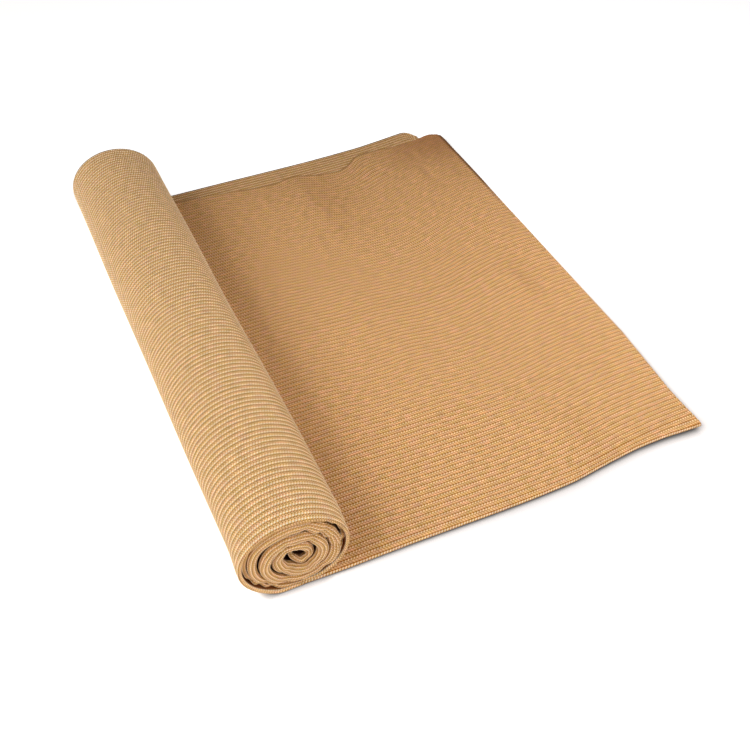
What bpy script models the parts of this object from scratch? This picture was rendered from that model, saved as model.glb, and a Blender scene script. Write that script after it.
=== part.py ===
"""A shade net folded once along its length, wound up from one end, with the rest laid out flat.

Metres, +Z up. +X runs along the laid-out net away from the roll, and +Y along the roll, from the folded
edge to the two selvedges. The net is one cloth, built as two solids: the roll, and the loose end beside it.
"""

import math
from collections import namedtuple

import bmesh
import bpy

NAME = "shade_net"

# The knit: three needles to the inch, so this many ribs lie between the fold and the outer selvedge.
RIB_PITCH = 0.0254 / 3
RIB_COUNT = 118
RIB_HEIGHT = 0.0008
LAYER = 0.0020
LAYER_GAP = 0.0010
PIECE_GAP = 0.0003

ROLL_LENGTH = RIB_COUNT * RIB_PITCH
LAID_HEIGHT = 2 * LAYER + LAYER_GAP
# The second turn of the roll lies on the laid net at this height.
UNDERSIDE = LAID_HEIGHT + RIB_HEIGHT / 2 + PIECE_GAP
UPPER_RIBS = 114
STRIP_RIBS = 4

STEPS_PER_TURN = 18
TURNS = 5
# The height of the outer turn's middle over the floor: less than half its height, so the roll sits flat.
SAG_CENTRE = 0.0716
CORE_DEPTH = 0.010

# The lean is how far the section's middle stands to the side of its foot.
Section = namedtuple("Section", "y half_width half_height lean")
SECTIONS = (
    Section(0.000, 0.0818, 0.0784, -0.0036),
    Section(0.012, 0.0826, 0.0790, -0.0032),
    Section(0.040, 0.0832, 0.0792, -0.0016),
    Section(0.300, 0.0850, 0.0784, -0.0006),
    Section(0.620, 0.0868, 0.0790, 0.0000),
    Section(0.960, 0.0896, 0.0790, 0.0000),
    Section(1.000, 0.0892, 0.0786, 0.0000),
)
# The roll lies a little askew: its foot, where the laid net leaves it, runs from here at this slope.
FOOT_X = 0.0012
FOOT_SLOPE = -0.042

# The outer side of the winding at the start of each turn, which is at the bottom of the roll. The size is
# a share of the section's, the rims are how far the turn stands proud of the roll's two ends, and the
# groove is the share of its full depth that the groove beside the turn has.
Winding = namedtuple("Winding", "turn size shift_x lift near_rim far_rim groove")
WINDINGS = (
    Winding(0, 1.000, 0.0000, 0.0000, 0.0000, 0.0000, 1.0),
    Winding(1, 0.925, 0.0000, 0.0034, 0.0000, 0.0000, 1.0),
    Winding(2, 0.800, -0.0020, 0.0064, 0.0050, 0.0040, 0.9),
    Winding(3, 0.630, -0.0040, 0.0084, 0.0080, -0.0030, 0.7),
    Winding(4, 0.430, -0.0060, 0.0104, 0.0070, 0.0060, 0.5),
    Winding(5, 0.250, -0.0080, 0.0114, 0.0030, -0.0020, 0.3),
    Winding(6, 0.110, -0.0080, 0.0124, 0.0030, -0.0020, 0.2),
)

# A turn's rim, from its outer side (share 0) to the next turn's (share 1), and how far in from the end it is.
RimStep = namedtuple("RimStep", "share depth")
# The near rim is the fold's soft bulge, with a groove beside it.
FOLD_RIM = (
    RimStep(0.00, 0.000),
    RimStep(0.34, -0.002),
    RimStep(0.66, 0.000),
    RimStep(0.76, 0.020),
    RimStep(0.92, 0.020),
)
# The far rim is two selvedges, the inner one set back, with a groove beside them.
SELVEDGE_RIM = (
    RimStep(0.00, 0.000),
    RimStep(0.20, 0.000),
    RimStep(0.26, 0.030),
    RimStep(0.52, 0.030),
    RimStep(0.90, 0.044),
)

# The roll's uneven skin: waves of this height, with this many round the roll and along it.
Dent = namedtuple("Dent", "height round along start")
DENTS = (
    Dent(0.0008, 3, 0.7, 0.4),
    Dent(0.0006, 2, 2.1, 1.9),
    Dent(0.0005, 5, 1.3, 3.0),
)
# They die away towards the roll's ends over this distance, and towards its foot over this share of a turn.
DENT_END_REACH = 0.06
DENT_FOOT_REACH = 0.15

# The laid net's two long edges, by distance from the roll: the fold, the upper selvedge and the lower one.
# The bulge is the fold's own height over two flat layers, and the lift its height off the floor.
Edge = namedtuple("Edge", "x fold_y upper_y lower_y bulge lift")
EDGES = (
    Edge(-0.050, 0.0020, 0.9700, 1.0140, 0.0000, 0.0000),
    Edge(0.060, -0.0010, 0.9690, 1.0140, 0.0004, 0.0000),
    Edge(0.160, -0.0010, 0.9680, 1.0145, 0.0026, 0.0000),
    Edge(0.300, -0.0030, 0.9690, 1.0140, 0.0030, 0.0000),
    Edge(0.365, -0.0030, 0.9590, 1.0140, 0.0030, 0.0000),
    Edge(0.445, -0.0001, 0.9810, 1.0170, 0.0026, 0.0004),
    Edge(0.500, 0.0080, 0.9870, 1.0200, 0.0022, 0.0010),
    Edge(0.560, 0.0145, 0.9815, 1.0280, 0.0020, 0.0024),
    Edge(0.616, 0.0150, 0.9840, 1.0365, 0.0020, 0.0034),
    Edge(0.637, 0.0130, 0.9865, 1.0100, 0.0018, 0.0044),
    Edge(0.668, 0.0112, 0.9945, 1.0100, 0.0016, 0.0050),
    Edge(0.690, 0.0105, 0.9790, 1.0100, 0.0012, 0.0054),
)

# The cut end of the net, across its width: the upper layer reaches further than the lower one.
CutEnd = namedtuple("CutEnd", "y upper_x lower_x")
CUT_END = (
    CutEnd(0.000, 0.6760, 0.6750),
    CutEnd(0.100, 0.6804, 0.6745),
    CutEnd(0.250, 0.6900, 0.6720),
    CutEnd(0.600, 0.6915, 0.6570),
    CutEnd(0.960, 0.6900, 0.6410),
    CutEnd(1.040, 0.6900, 0.6370),
)

# Soft swells of the upper layer: where each is, its heading, and its reach along and across that heading.
Swell = namedtuple("Swell", "x y heading length width height")
SWELLS = (
    Swell(0.350, 0.880, 82, 0.130, 0.050, 0.0040),
    Swell(0.580, 0.780, 98, 0.160, 0.050, 0.0036),
    Swell(0.500, 0.985, 8, 0.090, 0.030, 0.0030),
    Swell(0.625, 0.470, 88, 0.150, 0.045, 0.0026),
    Swell(0.460, 0.130, 25, 0.140, 0.060, 0.0024),
    Swell(0.250, 0.560, 100, 0.180, 0.070, 0.0016),
)

# They start at this distance from the roll, and at this share of the width from the upper selvedge.
SWELL_START = 0.12
SWELL_MARGIN = 0.08

# Where the laid net's sections stand, as shares of its length from the roll to its cut end.
STATIONS = (0.0, 0.05, 0.18, 0.32, 0.44, 0.53, 0.62, 0.71, 0.80, 0.87, 0.925, 0.97, 1.0)
# Rows where the upper layer's height changes, as shares of the way from its selvedge to the fold.
UPPER_ROWS = (
    0.0, 0.02, 0.06, 0.10, 0.15, 0.20, 0.25, 0.31, 0.37, 0.43, 0.50,
    0.57, 0.64, 0.71, 0.78, 0.84, 0.89, 0.93, 0.96, 0.98, 1.0,
)
LOWER_ROWS = (0.0, 0.03, 0.08, 0.14, 0.35, 0.60, 0.80, 0.95, 1.0)
FOLD_ANGLES = (45, 90, 135)
# The lift of the fold's edge dies away over this distance.
LIFT_REACH = 0.10
BULGE_REACH = 0.05
# Past the lower layer's cut end the upper one comes down to the floor over this distance.
DROP_REACH = 0.035

Finish = namedtuple("Finish", "name colour roughness")
ROLL_FINISH = Finish("net_outer_face", (0.670, 0.440, 0.220, 1.0), 0.72)
LAID_FINISH = Finish("net_inner_face", (0.565, 0.340, 0.150, 1.0), 0.78)


def clear_scene():
    """Removes the objects that the scene starts with."""
    for obj in list(bpy.data.objects):
        bpy.data.objects.remove(obj, do_unlink=True)


def row_at(rows, value):
    """The row at this value of the table's first column, worked out between the two rows around it."""
    above = next((i for i, row in enumerate(rows) if row[0] > value), len(rows) - 1)
    low, high = rows[max(above - 1, 0)], rows[max(above, 1)]
    share = min(1.0, max(0.0, (value - low[0]) / (high[0] - low[0])))
    return type(low)(*(a + (b - a) * share for a, b in zip(low, high)))


def eased(share):
    """A smooth step from 0 to 1."""
    share = min(1.0, max(0.0, share))
    return share * share * (3 - 2 * share)


def make_material(finish):
    """One plain fabric material."""
    material = bpy.data.materials.new(finish.name)
    material.use_nodes = True
    shader = material.node_tree.nodes["Principled BSDF"]
    shader.inputs["Base Color"].default_value = finish.colour
    shader.inputs["Roughness"].default_value = finish.roughness
    shader.inputs["Metallic"].default_value = 0.0
    return material


def make_object(name, bm, finish, collection):
    """Turns a closed bmesh into an object with its own material."""
    bmesh.ops.recalc_face_normals(bm, faces=bm.faces)
    mesh = bpy.data.meshes.new(name)
    bm.to_mesh(mesh)
    bm.free()
    mesh.materials.append(make_material(finish))
    obj = bpy.data.objects.new(name, mesh)
    collection.objects.link(obj)
    return obj


def skin(bm, first, second, ring):
    """Joins two rows of the same number of points, closing them round where they are rings."""
    count = len(first)
    for i in range(count if ring else count - 1):
        after = (i + 1) % count
        bm.faces.new((first[i], first[after], second[after], second[i]))


def dent(turn, y):
    """How far the roll's skin stands out here, with none at the ends or at the bottom, where it lies."""
    fade = eased(min(y, ROLL_LENGTH - y) / DENT_END_REACH) * eased(min(turn, 1 - turn) / DENT_FOOT_REACH)
    return fade * sum(
        d.height * math.sin(2 * math.pi * (d.round * turn + d.along * y) + d.start) for d in DENTS
    )


def foot_x(y):
    """Where the outer turn ends under the roll and the laid net begins."""
    return FOOT_X + FOOT_SLOPE * y


def winding_point(turn, y, out):
    """(x, z) of the winding's outer side, this many turns in, at this place along the roll."""
    wind, section = row_at(WINDINGS, turn), row_at(SECTIONS, y)
    angle = 2 * math.pi * turn
    middle_x = foot_x(y) + wind.shift_x + section.lean * (1 - math.cos(angle))
    x = middle_x - (wind.size * section.half_width + out) * math.sin(angle)
    z = SAG_CENTRE + wind.lift - (wind.size * section.half_height + out) * math.cos(angle)
    if turn < 0.25:
        return x, max(z, 0.0)
    if 0.75 < turn < 1.25:
        return x, max(z, UNDERSIDE)
    return x, z


def end_cap(bm, ring, rim, y_end, outward, rim_of):
    """Closes an end of the roll with its turns: rims with grooves between them, spiralling in to the core.

    ring is the wall's last ring: its first turn's outer side, and the underside of the second at its end.
    """
    steps = STEPS_PER_TURN
    last = TURNS * steps

    def place(turn, share, depth):
        """A new point between this turn's outer side and the next one's."""
        outer, inner = winding_point(turn, y_end, 0.0), winding_point(turn + 1, y_end, 0.0)
        x = outer[0] + (inner[0] - outer[0]) * share
        z = outer[1] + (inner[1] - outer[1]) * share
        return bm.verts.new((x, y_end - outward * depth, z))

    sides = list(ring)
    for i in range(steps + 1, last + steps + 1):
        turn = i / steps
        wind = row_at(WINDINGS, turn)
        depth = -rim_of(wind) if i <= last else wind.groove * rim[-1].depth
        sides.append(place(turn - 1, 1.0, depth))
    rows = []
    for i in range(1, last + 1):
        turn = i / steps
        wind = row_at(WINDINGS, turn)
        middle = [place(turn, step.share, wind.groove * step.depth - rim_of(wind)) for step in rim[1:]]
        rows.append([sides[i], *middle, sides[i + steps]])
    open_start(bm, sides[0], sides[steps], rows[0])
    for first, second in zip(rows, rows[1:]):
        skin(bm, first, second, ring=False)
    core_x = foot_x(y_end) + WINDINGS[-1].shift_x + row_at(SECTIONS, y_end).lean
    core_z = SAG_CENTRE + WINDINGS[-1].lift
    core = bm.verts.new((core_x, y_end - outward * CORE_DEPTH, core_z))
    rim_round = sides[last:] + rows[-1][-2:0:-1]
    for a, b in zip(rim_round, rim_round[1:] + rim_round[:1]):
        bm.faces.new((core, a, b))


def open_start(bm, outer, inner, row):
    """The first step of the spiral, where the turn is still as thin as the step between two corners."""
    middle = len(row) // 2
    for a, b in zip(row[:middle], row[1 : middle + 1]):
        bm.faces.new((outer, a, b))
    bm.faces.new((outer, row[middle], inner))
    for a, b in zip(row[middle:], row[middle + 1 :]):
        bm.faces.new((inner, a, b))


def build_roll(collection):
    """The wound net: ribbed rings from the fold to the selvedges, closed by its turns at both ends."""
    bm = bmesh.new()
    rings = []
    for k in range(2 * RIB_COUNT + 1):
        y = k * RIB_PITCH / 2
        rib = RIB_HEIGHT / 2 if k % 2 else -RIB_HEIGHT / 2
        ring = []
        for i in range(STEPS_PER_TURN + 1):
            turn = i / STEPS_PER_TURN
            x, z = winding_point(turn, y, rib + dent(turn, y))
            ring.append(bm.verts.new((x, y, z)))
        rings.append(ring)
    for first, second in zip(rings, rings[1:]):
        skin(bm, first, second, ring=True)
    end_cap(bm, rings[0], FOLD_RIM, 0.0, -1, lambda wind: wind.near_rim)
    end_cap(bm, rings[-1], SELVEDGE_RIM, ROLL_LENGTH, 1, lambda wind: wind.far_rim)
    return make_object("roll", bm, ROLL_FINISH, collection)


def swell_height(x, y):
    """How far the upper layer stands off the lower one here."""
    total = 0.0
    for swell in SWELLS:
        heading = math.radians(swell.heading)
        along = (x - swell.x) * math.cos(heading) + (y - swell.y) * math.sin(heading)
        across = (y - swell.y) * math.cos(heading) - (x - swell.x) * math.sin(heading)
        total += swell.height * math.exp(-((along / swell.length) ** 2) - (across / swell.width) ** 2)
    return total


def fold_lift(x, y, edge):
    """How far the net stands off the floor near its fold."""
    return edge.lift * (1 - eased((y - edge.fold_y) / LIFT_REACH))


def upper_base(station, row):
    """(x, y, z) of the upper layer's top without its ribs. Row 0 is at its selvedge and 1 at the fold."""
    edge = row_at(EDGES, station * CUT_END[-1].upper_x)
    flat_layers = LAID_HEIGHT + edge.bulge
    fold_start = edge.fold_y + flat_layers / 2
    y = edge.upper_y + (fold_start - edge.upper_y) * row
    end, start = row_at(CUT_END, y), foot_x(y) + PIECE_GAP
    x = start + (end.upper_x - start) * station
    bulge = edge.bulge * (1 - eased((y - fold_start) / BULGE_REACH))
    past = eased((x - end.lower_x) / DROP_REACH)
    free = eased((x - start) / SWELL_START) * eased((1 - row) / SWELL_MARGIN)
    z = LAID_HEIGHT + bulge + fold_lift(x, y, edge) + swell_height(x, y) * free * (1 - past)
    return x, y, z - (LAYER + LAYER_GAP) * past


def lower_base(station, row):
    """(x, y, z) of the lower layer's underside. Row 0 is at the fold and 1 at its selvedge."""
    edge = row_at(EDGES, station * CUT_END[-1].lower_x)
    near = row_at(EDGES, station * CUT_END[-1].upper_x)
    fold_start = near.fold_y + (LAID_HEIGHT + near.bulge) / 2
    y = fold_start + (edge.lower_y - fold_start) * row
    end, start = row_at(CUT_END, y), foot_x(y) + PIECE_GAP
    return start + (end.lower_x - start) * station, y, fold_lift(0.0, y, near)


def ribbed(rows, count, height):
    """The line through the rows' points, raised and lowered in turn into this many ribs.

    rows holds (share, point) pairs, and the line bends only at those shares.
    """
    points = []
    for k in range(2 * count + 1):
        share = k / (2 * count)
        after = next((i for i, (value, _) in enumerate(rows) if value > share), len(rows) - 1)
        (low, first), (high, second) = rows[after - 1], rows[after]
        part = (share - low) / (high - low)
        x, y, z = (a + (b - a) * part for a, b in zip(first, second))
        points.append((x, y, z + (height / 2 if k % 2 else -height / 2)))
    return points


def fold_arc(station, radius):
    """Points round the fold from the upper layer down to the lower one."""
    top, bottom = upper_base(station, 1.0), lower_base(station, 0.0)
    middle = (top[2] + bottom[2]) / 2
    points = []
    for degrees in FOLD_ANGLES:
        angle = math.radians(degrees)
        points.append((top[0], top[1] - radius * math.sin(angle), middle + radius * math.cos(angle)))
    return points


def section(station):
    """The outer and inner sides of the doubled net across its width, from the upper selvedge to the lower."""
    height = upper_base(station, 1.0)[2] - lower_base(station, 0.0)[2]
    top = [(row, upper_base(station, row)) for row in UPPER_ROWS]
    under = [lower_base(station, row) for row in LOWER_ROWS]
    outer = ribbed(top, UPPER_RIBS, RIB_HEIGHT) + fold_arc(station, height / 2) + under
    upper_under = [lowered(point, LAYER) for _, point in top]
    top_of_lower = [lowered(point, -LAYER) for point in under]
    strip = ribbed(list(enumerate(top_of_lower[-2:])), STRIP_RIBS, RIB_HEIGHT / 2)
    inner = upper_under + fold_arc(station, height / 2 - LAYER) + top_of_lower[:-2] + strip
    return outer, inner


def lowered(point, by):
    """The point, this much lower."""
    return point[0], point[1], point[2] - by


def lengths(points):
    """How far along the line each of its points is, as a share of its length."""
    run = [0.0]
    for a, b in zip(points, points[1:]):
        run.append(run[-1] + math.hypot(b[1] - a[1], b[2] - a[2]))
    return [value / run[-1] for value in run]


def close_end(bm, outer, inner):
    """Closes a cut end of the doubled net with triangles between its outer and inner sides."""
    outer_run = lengths([vertex.co for vertex in outer])
    inner_run = lengths([vertex.co for vertex in inner])
    i = j = 0
    while i < len(outer) - 1 or j < len(inner) - 1:
        step_outer = j == len(inner) - 1 or (i < len(outer) - 1 and outer_run[i + 1] <= inner_run[j + 1])
        if step_outer:
            bm.faces.new((outer[i], outer[i + 1], inner[j]))
            i += 1
        else:
            bm.faces.new((outer[i], inner[j + 1], inner[j]))
            j += 1


def build_laid_end(collection):
    """The loose end of the net: its two layers in one hairpin section, from the roll to the cut end."""
    bm = bmesh.new()
    sides = []
    for station in STATIONS:
        outer, inner = section(station)
        sides.append(([bm.verts.new(p) for p in outer], [bm.verts.new(p) for p in inner]))
    rings = [outer + inner[::-1] for outer, inner in sides]
    for first, second in zip(rings, rings[1:]):
        skin(bm, first, second, ring=True)
    close_end(bm, *sides[0])
    close_end(bm, *sides[-1])
    return make_object("laid_end", bm, LAID_FINISH, collection)


def centre_on_floor(objects):
    """Moves the meshes so that their common bounding box stands on the origin."""
    corners = [vertex.co for obj in objects for vertex in obj.data.vertices]
    shift = [-(min(c[axis] for c in corners) + max(c[axis] for c in corners)) / 2 for axis in (0, 1)]
    for obj in objects:
        for vertex in obj.data.vertices:
            vertex.co.x += shift[0]
            vertex.co.y += shift[1]


def main():
    """Builds the net in a collection of its own."""
    clear_scene()
    collection = bpy.data.collections.new(NAME)
    bpy.context.scene.collection.children.link(collection)
    centre_on_floor([build_roll(collection), build_laid_end(collection)])


main()
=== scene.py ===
"""The looks of a shade net: one knitted cloth, folded along its length, part wound up and part laid out.

Metres, +Z up. Shapes are worked out in the cloth's own frame, where X runs along the laid net away from
the roll's foot and Y along the roll from the fold to the selvedges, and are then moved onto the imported
frame. A turn of 0 is at the bottom of the roll, where the laid net leaves it, 0.25 is on its left, 0.5 on
top and 0.75 on its right, and later turns follow inside the first. Ribs are counted from the fold: up to
114 across the upper layer, and down to -118 across the lower one.
"""

import logging
import math
from dataclasses import dataclass, replace
from enum import Enum
from functools import partial
from typing import Callable

import bmesh
import bpy
import numpy as np
from mathutils import Matrix, Vector


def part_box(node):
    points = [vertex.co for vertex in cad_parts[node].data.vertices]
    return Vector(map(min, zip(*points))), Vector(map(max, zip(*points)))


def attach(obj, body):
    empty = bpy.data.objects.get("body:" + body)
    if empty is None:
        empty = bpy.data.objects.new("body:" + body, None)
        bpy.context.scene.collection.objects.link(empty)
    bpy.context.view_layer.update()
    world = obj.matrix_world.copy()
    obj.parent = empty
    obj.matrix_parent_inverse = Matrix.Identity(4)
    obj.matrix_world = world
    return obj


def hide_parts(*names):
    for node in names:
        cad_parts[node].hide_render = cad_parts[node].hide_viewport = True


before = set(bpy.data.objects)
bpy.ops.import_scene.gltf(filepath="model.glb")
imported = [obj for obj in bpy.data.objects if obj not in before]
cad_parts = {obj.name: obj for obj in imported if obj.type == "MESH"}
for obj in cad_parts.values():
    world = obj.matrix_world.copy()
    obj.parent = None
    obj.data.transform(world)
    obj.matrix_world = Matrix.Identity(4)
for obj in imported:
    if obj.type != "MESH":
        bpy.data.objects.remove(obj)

LOG = logging.getLogger("shade_net")
IMAGE_SIDE = 750

Table = tuple[tuple[float, ...], ...]
Place = tuple[float, float, float]
Socket = bpy.types.NodeSocket
Adder = Callable[..., Socket]

# The nodes and settings that the materials use most.
MATH = "ShaderNodeMath"
VECTOR = "ShaderNodeVectorMath"
RANGE = "ShaderNodeMapRange"
MIX = "ShaderNodeMix"
ATTRIBUTE = "ShaderNodeAttribute"
SMOOTH = {"interpolation_type": "SMOOTHSTEP"}
MIXED = {"data_type": "RGBA"}

RIB_PITCH = 0.0254 / 3
UPPER_RIBS = 114
LOWER_RIBS = 118
# Up to this rib the lower layer may show past the upper one.
STRIP_END = -LOWER_RIBS + 9
LAYER = 0.0020
LAYER_GAP = 0.0010
LAID_HEIGHT = 2 * LAYER + LAYER_GAP
UNDERSIDE = 0.0057
ROLL_LENGTH = LOWER_RIBS * RIB_PITCH
# The furthest the laid net reaches from the roll's foot, and from the fold, in the cloth's own frame.
LAID_REACH = (0.69141, 1.03411)
UV_NAME = "knit"
# How far each point is behind the roll's ends, which sets the painted shade between its folds.
DEPTH_NAME = "depth"
# How much painted shade the cloth gets, as a warm brown multiplied into its colour.
PAINTED_SHADE_NAME = "crease"
# How far along the cloth from the roll's foot the cut end is.
CUT_ALONG = 0.7184

# Where the rows of the mesh stand on a rib that shows, one that shows a little, and one that is hidden.
SHOWN_PHASES = (0.0, 0.23, 0.38, 0.5, 0.62, 0.77)
PART_PHASES = (0.0, 0.30, 0.5, 0.70)
PLAIN_PHASES = (0.0,)
# How wide a chain line is, as a share of a rib.
CHAIN_SHARE = 0.11


class Slot(Enum):
    """The colour slots that the roll and the laid net fill."""

    CHAIN_SIDE = "net_outer_face"
    FURROWED_TOP = "net_inner_face"


class Layer(Enum):
    """The laid net's two layers, each by its column in the table of the cut end."""

    UPPER = 1
    LOWER = 2


class Companion(Enum):
    """On which side of each chain line its companion line runs: painted shade beside the roll's and the
    strip's lines, and a painted highlight beside the laid net's furrows.
    """

    AWAY_FROM_FOLD = 1
    TOWARDS_FOLD = -1


def eased(share: np.ndarray) -> np.ndarray:
    """A smooth step from 0 to 1."""
    share = np.clip(share, 0.0, 1.0)
    return share * share * (3 - 2 * share)


def column(rows: Table, place: int) -> list[float]:
    """One column of a table."""
    return [row[place] for row in rows]


def read(rows: Table, value: np.ndarray, place: int, rounding: float = 0.0) -> np.ndarray:
    """Reads a table between its rows.

    Args:
        rows: the table, whose first column rises.
        value: where in the first column.
        place: the column that is wanted.
        rounding: how far on each side the values are averaged, which rounds the table's corners.

    Returns:
        The column's values there.
    """
    steps = np.linspace(-rounding, rounding, 5) if rounding else (0.0,)
    first, wanted = column(rows, 0), column(rows, place)
    return np.mean([np.interp(value + step, first, wanted) for step in steps], axis=0)


def rib_rows(start: int, stop: int, phases: tuple[float, ...]) -> list[float]:
    """Rows of the mesh from one rib to another, counted from the fold."""
    return [rib + phase for rib in range(start, stop) for phase in phases]


def side_of(ribs: np.ndarray) -> np.ndarray:
    """On which layer each row is: 1 on the upper one, and -1 on the lower one."""
    return np.where(ribs >= 0, 1.0, -1.0)


def chain_profile(ribs: np.ndarray) -> np.ndarray:
    """How near each row is to a chain line: 1 on the line, and 0 away from it."""
    phase = ribs - np.floor(ribs) - 0.5
    return np.exp(-((phase / CHAIN_SHARE) ** 2))


def band_profile(ribs: np.ndarray) -> np.ndarray:
    """The soft dome of the band between two chain lines: 1 at its middle and 0 at the lines."""
    phase = ribs - np.floor(ribs) - 0.5
    return np.sin(np.pi * np.abs(phase)) ** 2


def outward(points: np.ndarray) -> np.ndarray:
    """The outward direction at each point of a grid of rows and columns."""
    normal = np.cross(np.gradient(points, axis=1), np.gradient(points, axis=0))
    return normal / np.maximum(np.linalg.norm(normal, axis=2, keepdims=True), 1e-12)


def run_along(points: np.ndarray) -> np.ndarray:
    """How far each point of a line is along it from the first."""
    steps = np.linalg.norm(np.diff(points, axis=0), axis=1)
    return np.concatenate([[0.0], np.cumsum(steps)])


def cloth_frame() -> np.ndarray:
    """The move from the cloth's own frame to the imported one."""
    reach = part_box("laid_end")[1]
    return np.array([reach.x - LAID_REACH[0], reach.y - LAID_REACH[1], 0.0])


def mark_points(mesh: bpy.types.Mesh, name: str, values: np.ndarray) -> None:
    """Writes a value for each point of a mesh, under a name."""
    marks = mesh.attributes.new(name=name, type="FLOAT", domain="POINT")
    marks.data.foreach_set("value", values.astype(np.float32).ravel())


@dataclass
class Face:
    """The outer face of a length of cloth: a grid with rows across the cloth and columns along it."""

    # The points in the cloth's own frame, and how far each is behind the roll's ends.
    points: np.ndarray
    depth: np.ndarray
    # Each column's distance along the cloth from the roll's foot, and each row's rib.
    along: np.ndarray
    ribs: np.ndarray


@dataclass(kw_only=True)
class Cloth:
    """A length of the folded net, as one sheet."""

    name: str
    slot: Slot
    # The CAD node that it stands for.
    node: str
    thickness: float = LAYER

    def face(self) -> Face:
        """The outer face, which each length of cloth works out in its own way."""
        raise NotImplementedError

    def mark(self, mesh: bpy.types.Mesh, face: Face) -> None:
        """Marks the mesh where this length of cloth differs from the others, which is nowhere here."""

    def build(self, finishes: list[bpy.types.Material]) -> bpy.types.Object:
        """Makes the cloth, gives it its finishes, and lets it stand for its CAD node.

        Args:
            finishes: the finish of the side that shows, and that of the other side where it shows too.

        Returns:
            The new object.
        """
        face = self.face()
        obj = self.sheet(face)
        for finish in finishes:
            obj.data.materials.append(finish)
        self.mark(obj.data, face)
        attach(obj, "root")
        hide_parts(self.node)
        LOG.info("%s: %d faces", self.name, len(obj.data.polygons))
        return obj

    def sheet(self, face: Face) -> bpy.types.Object:
        """Lays a grid on the outer face and gives it its thickness.

        Args:
            face: the outer face.

        Returns:
            The new object.
        """
        rows, columns = face.points.shape[:2]
        bm = bmesh.new()
        bmesh.ops.create_grid(bm, x_segments=columns - 1, y_segments=rows - 1, size=0.5)
        mesh = bpy.data.meshes.new(self.name)
        bm.to_mesh(mesh)
        bm.free()
        placed = face.points + cloth_frame()
        mesh.vertices.foreach_set("co", placed.astype(np.float32).ravel())
        corner = np.empty(len(mesh.loops), np.int32)
        mesh.loops.foreach_get("vertex_index", corner)
        flat = np.stack(np.meshgrid(face.along, face.ribs * RIB_PITCH), axis=-1).reshape(-1, 2)
        layer = mesh.uv_layers.new(name=UV_NAME)
        layer.uv.foreach_set("vector", flat[corner].astype(np.float32).ravel())
        mark_points(mesh, DEPTH_NAME, face.depth)
        mesh.shade_smooth()
        mesh.update()
        obj = bpy.data.objects.new(self.name, mesh)
        bpy.context.scene.collection.objects.link(obj)
        solid = obj.modifiers.new("thickness", "SOLIDIFY")
        solid.thickness = self.thickness
        solid.offset = -1.0
        solid.use_rim = True
        return obj


# The roll's section along its length: its half width and half height, and how far its middle stands to
# the side of its foot.
SECTIONS = (
    (0.000, 0.0818, 0.0784, -0.0036),
    (0.012, 0.0826, 0.0790, -0.0032),
    (0.040, 0.0832, 0.0792, -0.0016),
    (0.300, 0.0850, 0.0784, -0.0006),
    (0.620, 0.0868, 0.0790, 0.0000),
    (0.960, 0.0896, 0.0790, 0.0000),
    (1.000, 0.0892, 0.0786, 0.0000),
)
SAG_CENTRE = 0.0716
FOOT_X = 0.0012
FOOT_SLOPE = -0.042

# The winding's outer side by turn: its share of the section's size, and how far its middle is moved.
SPIRAL = (
    (0.00, 1.0000, 0.0000, 0.0000),
    (1.00, 0.9250, 0.0000, 0.0034),
    (1.25, 0.8875, 0.0000, 0.0035),
    (1.50, 0.8916, 0.0000, 0.0045),
    (1.75, 0.8850, 0.0000, 0.0050),
    (2.00, 0.8430, -0.0010, 0.0060),
    (2.25, 0.7775, -0.0020, 0.0060),
    (2.50, 0.7770, -0.0020, 0.0065),
    (2.75, 0.8240, -0.0020, 0.0070),
    (3.00, 0.7730, -0.0030, 0.0080),
    (3.25, 0.5820, -0.0030, 0.0080),
    (3.50, 0.5150, -0.0030, 0.0085),
    (3.75, 0.5920, -0.0030, 0.0085),
    (4.00, 0.6000, -0.0040, 0.0085),
    (4.25, 0.3370, -0.0040, 0.0080),
    (4.50, 0.3050, -0.0040, 0.0080),
    (4.75, 0.3840, -0.0040, 0.0080),
    (5.00, 0.2100, 0.0020, 0.0010),
    (5.25, 0.1100, 0.0010, 0.0000),
    (5.50, 0.1250, 0.0010, 0.0000),
    (5.75, 0.1500, 0.0010, 0.0000),
    (6.00, 0.0500, 0.0020, 0.0000),
    (7.00, 0.0200, 0.0020, 0.0000),
)
SPIRAL_ROUNDING = 0.07
INNER_END = 5.70
# In how many steps the winding is measured, and at which place along the roll.
FINE_STEPS = 4001
MIDDLE_Y = 0.3

# How far each turn stands proud of the roll's near end and of its far end.
RIMS = (
    (0.00, 0.0000, 0.0000),
    (0.98, 0.0000, 0.0000),
    (1.15, -0.0040, 0.0000),
    (1.45, -0.0008, 0.0020),
    (1.58, -0.0018, 0.0024),
    (1.70, -0.0050, 0.0030),
    (1.92, -0.0055, 0.0040),
    (2.10, 0.0000, 0.0040),
    (3.00, 0.0060, -0.0030),
    (4.00, 0.0060, 0.0060),
    (5.00, 0.0010, -0.0020),
    (5.20, -0.0060, -0.0020),
    (6.00, -0.0120, -0.0020),
)
RIM_ROUNDING = 0.05
FAR_RIM_ROUNDING = 0.1

# The fine waves of the folds' tips and of the selvedges: height, radians in a turn, and start.
TIP_WAVES = ((0.0012, 10.7, 0.3), (0.0008, 29.5, 1.9))
FAR_WAVES = ((0.0014, 8.3, 1.0), (0.0009, 17.0, 0.0))

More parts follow.
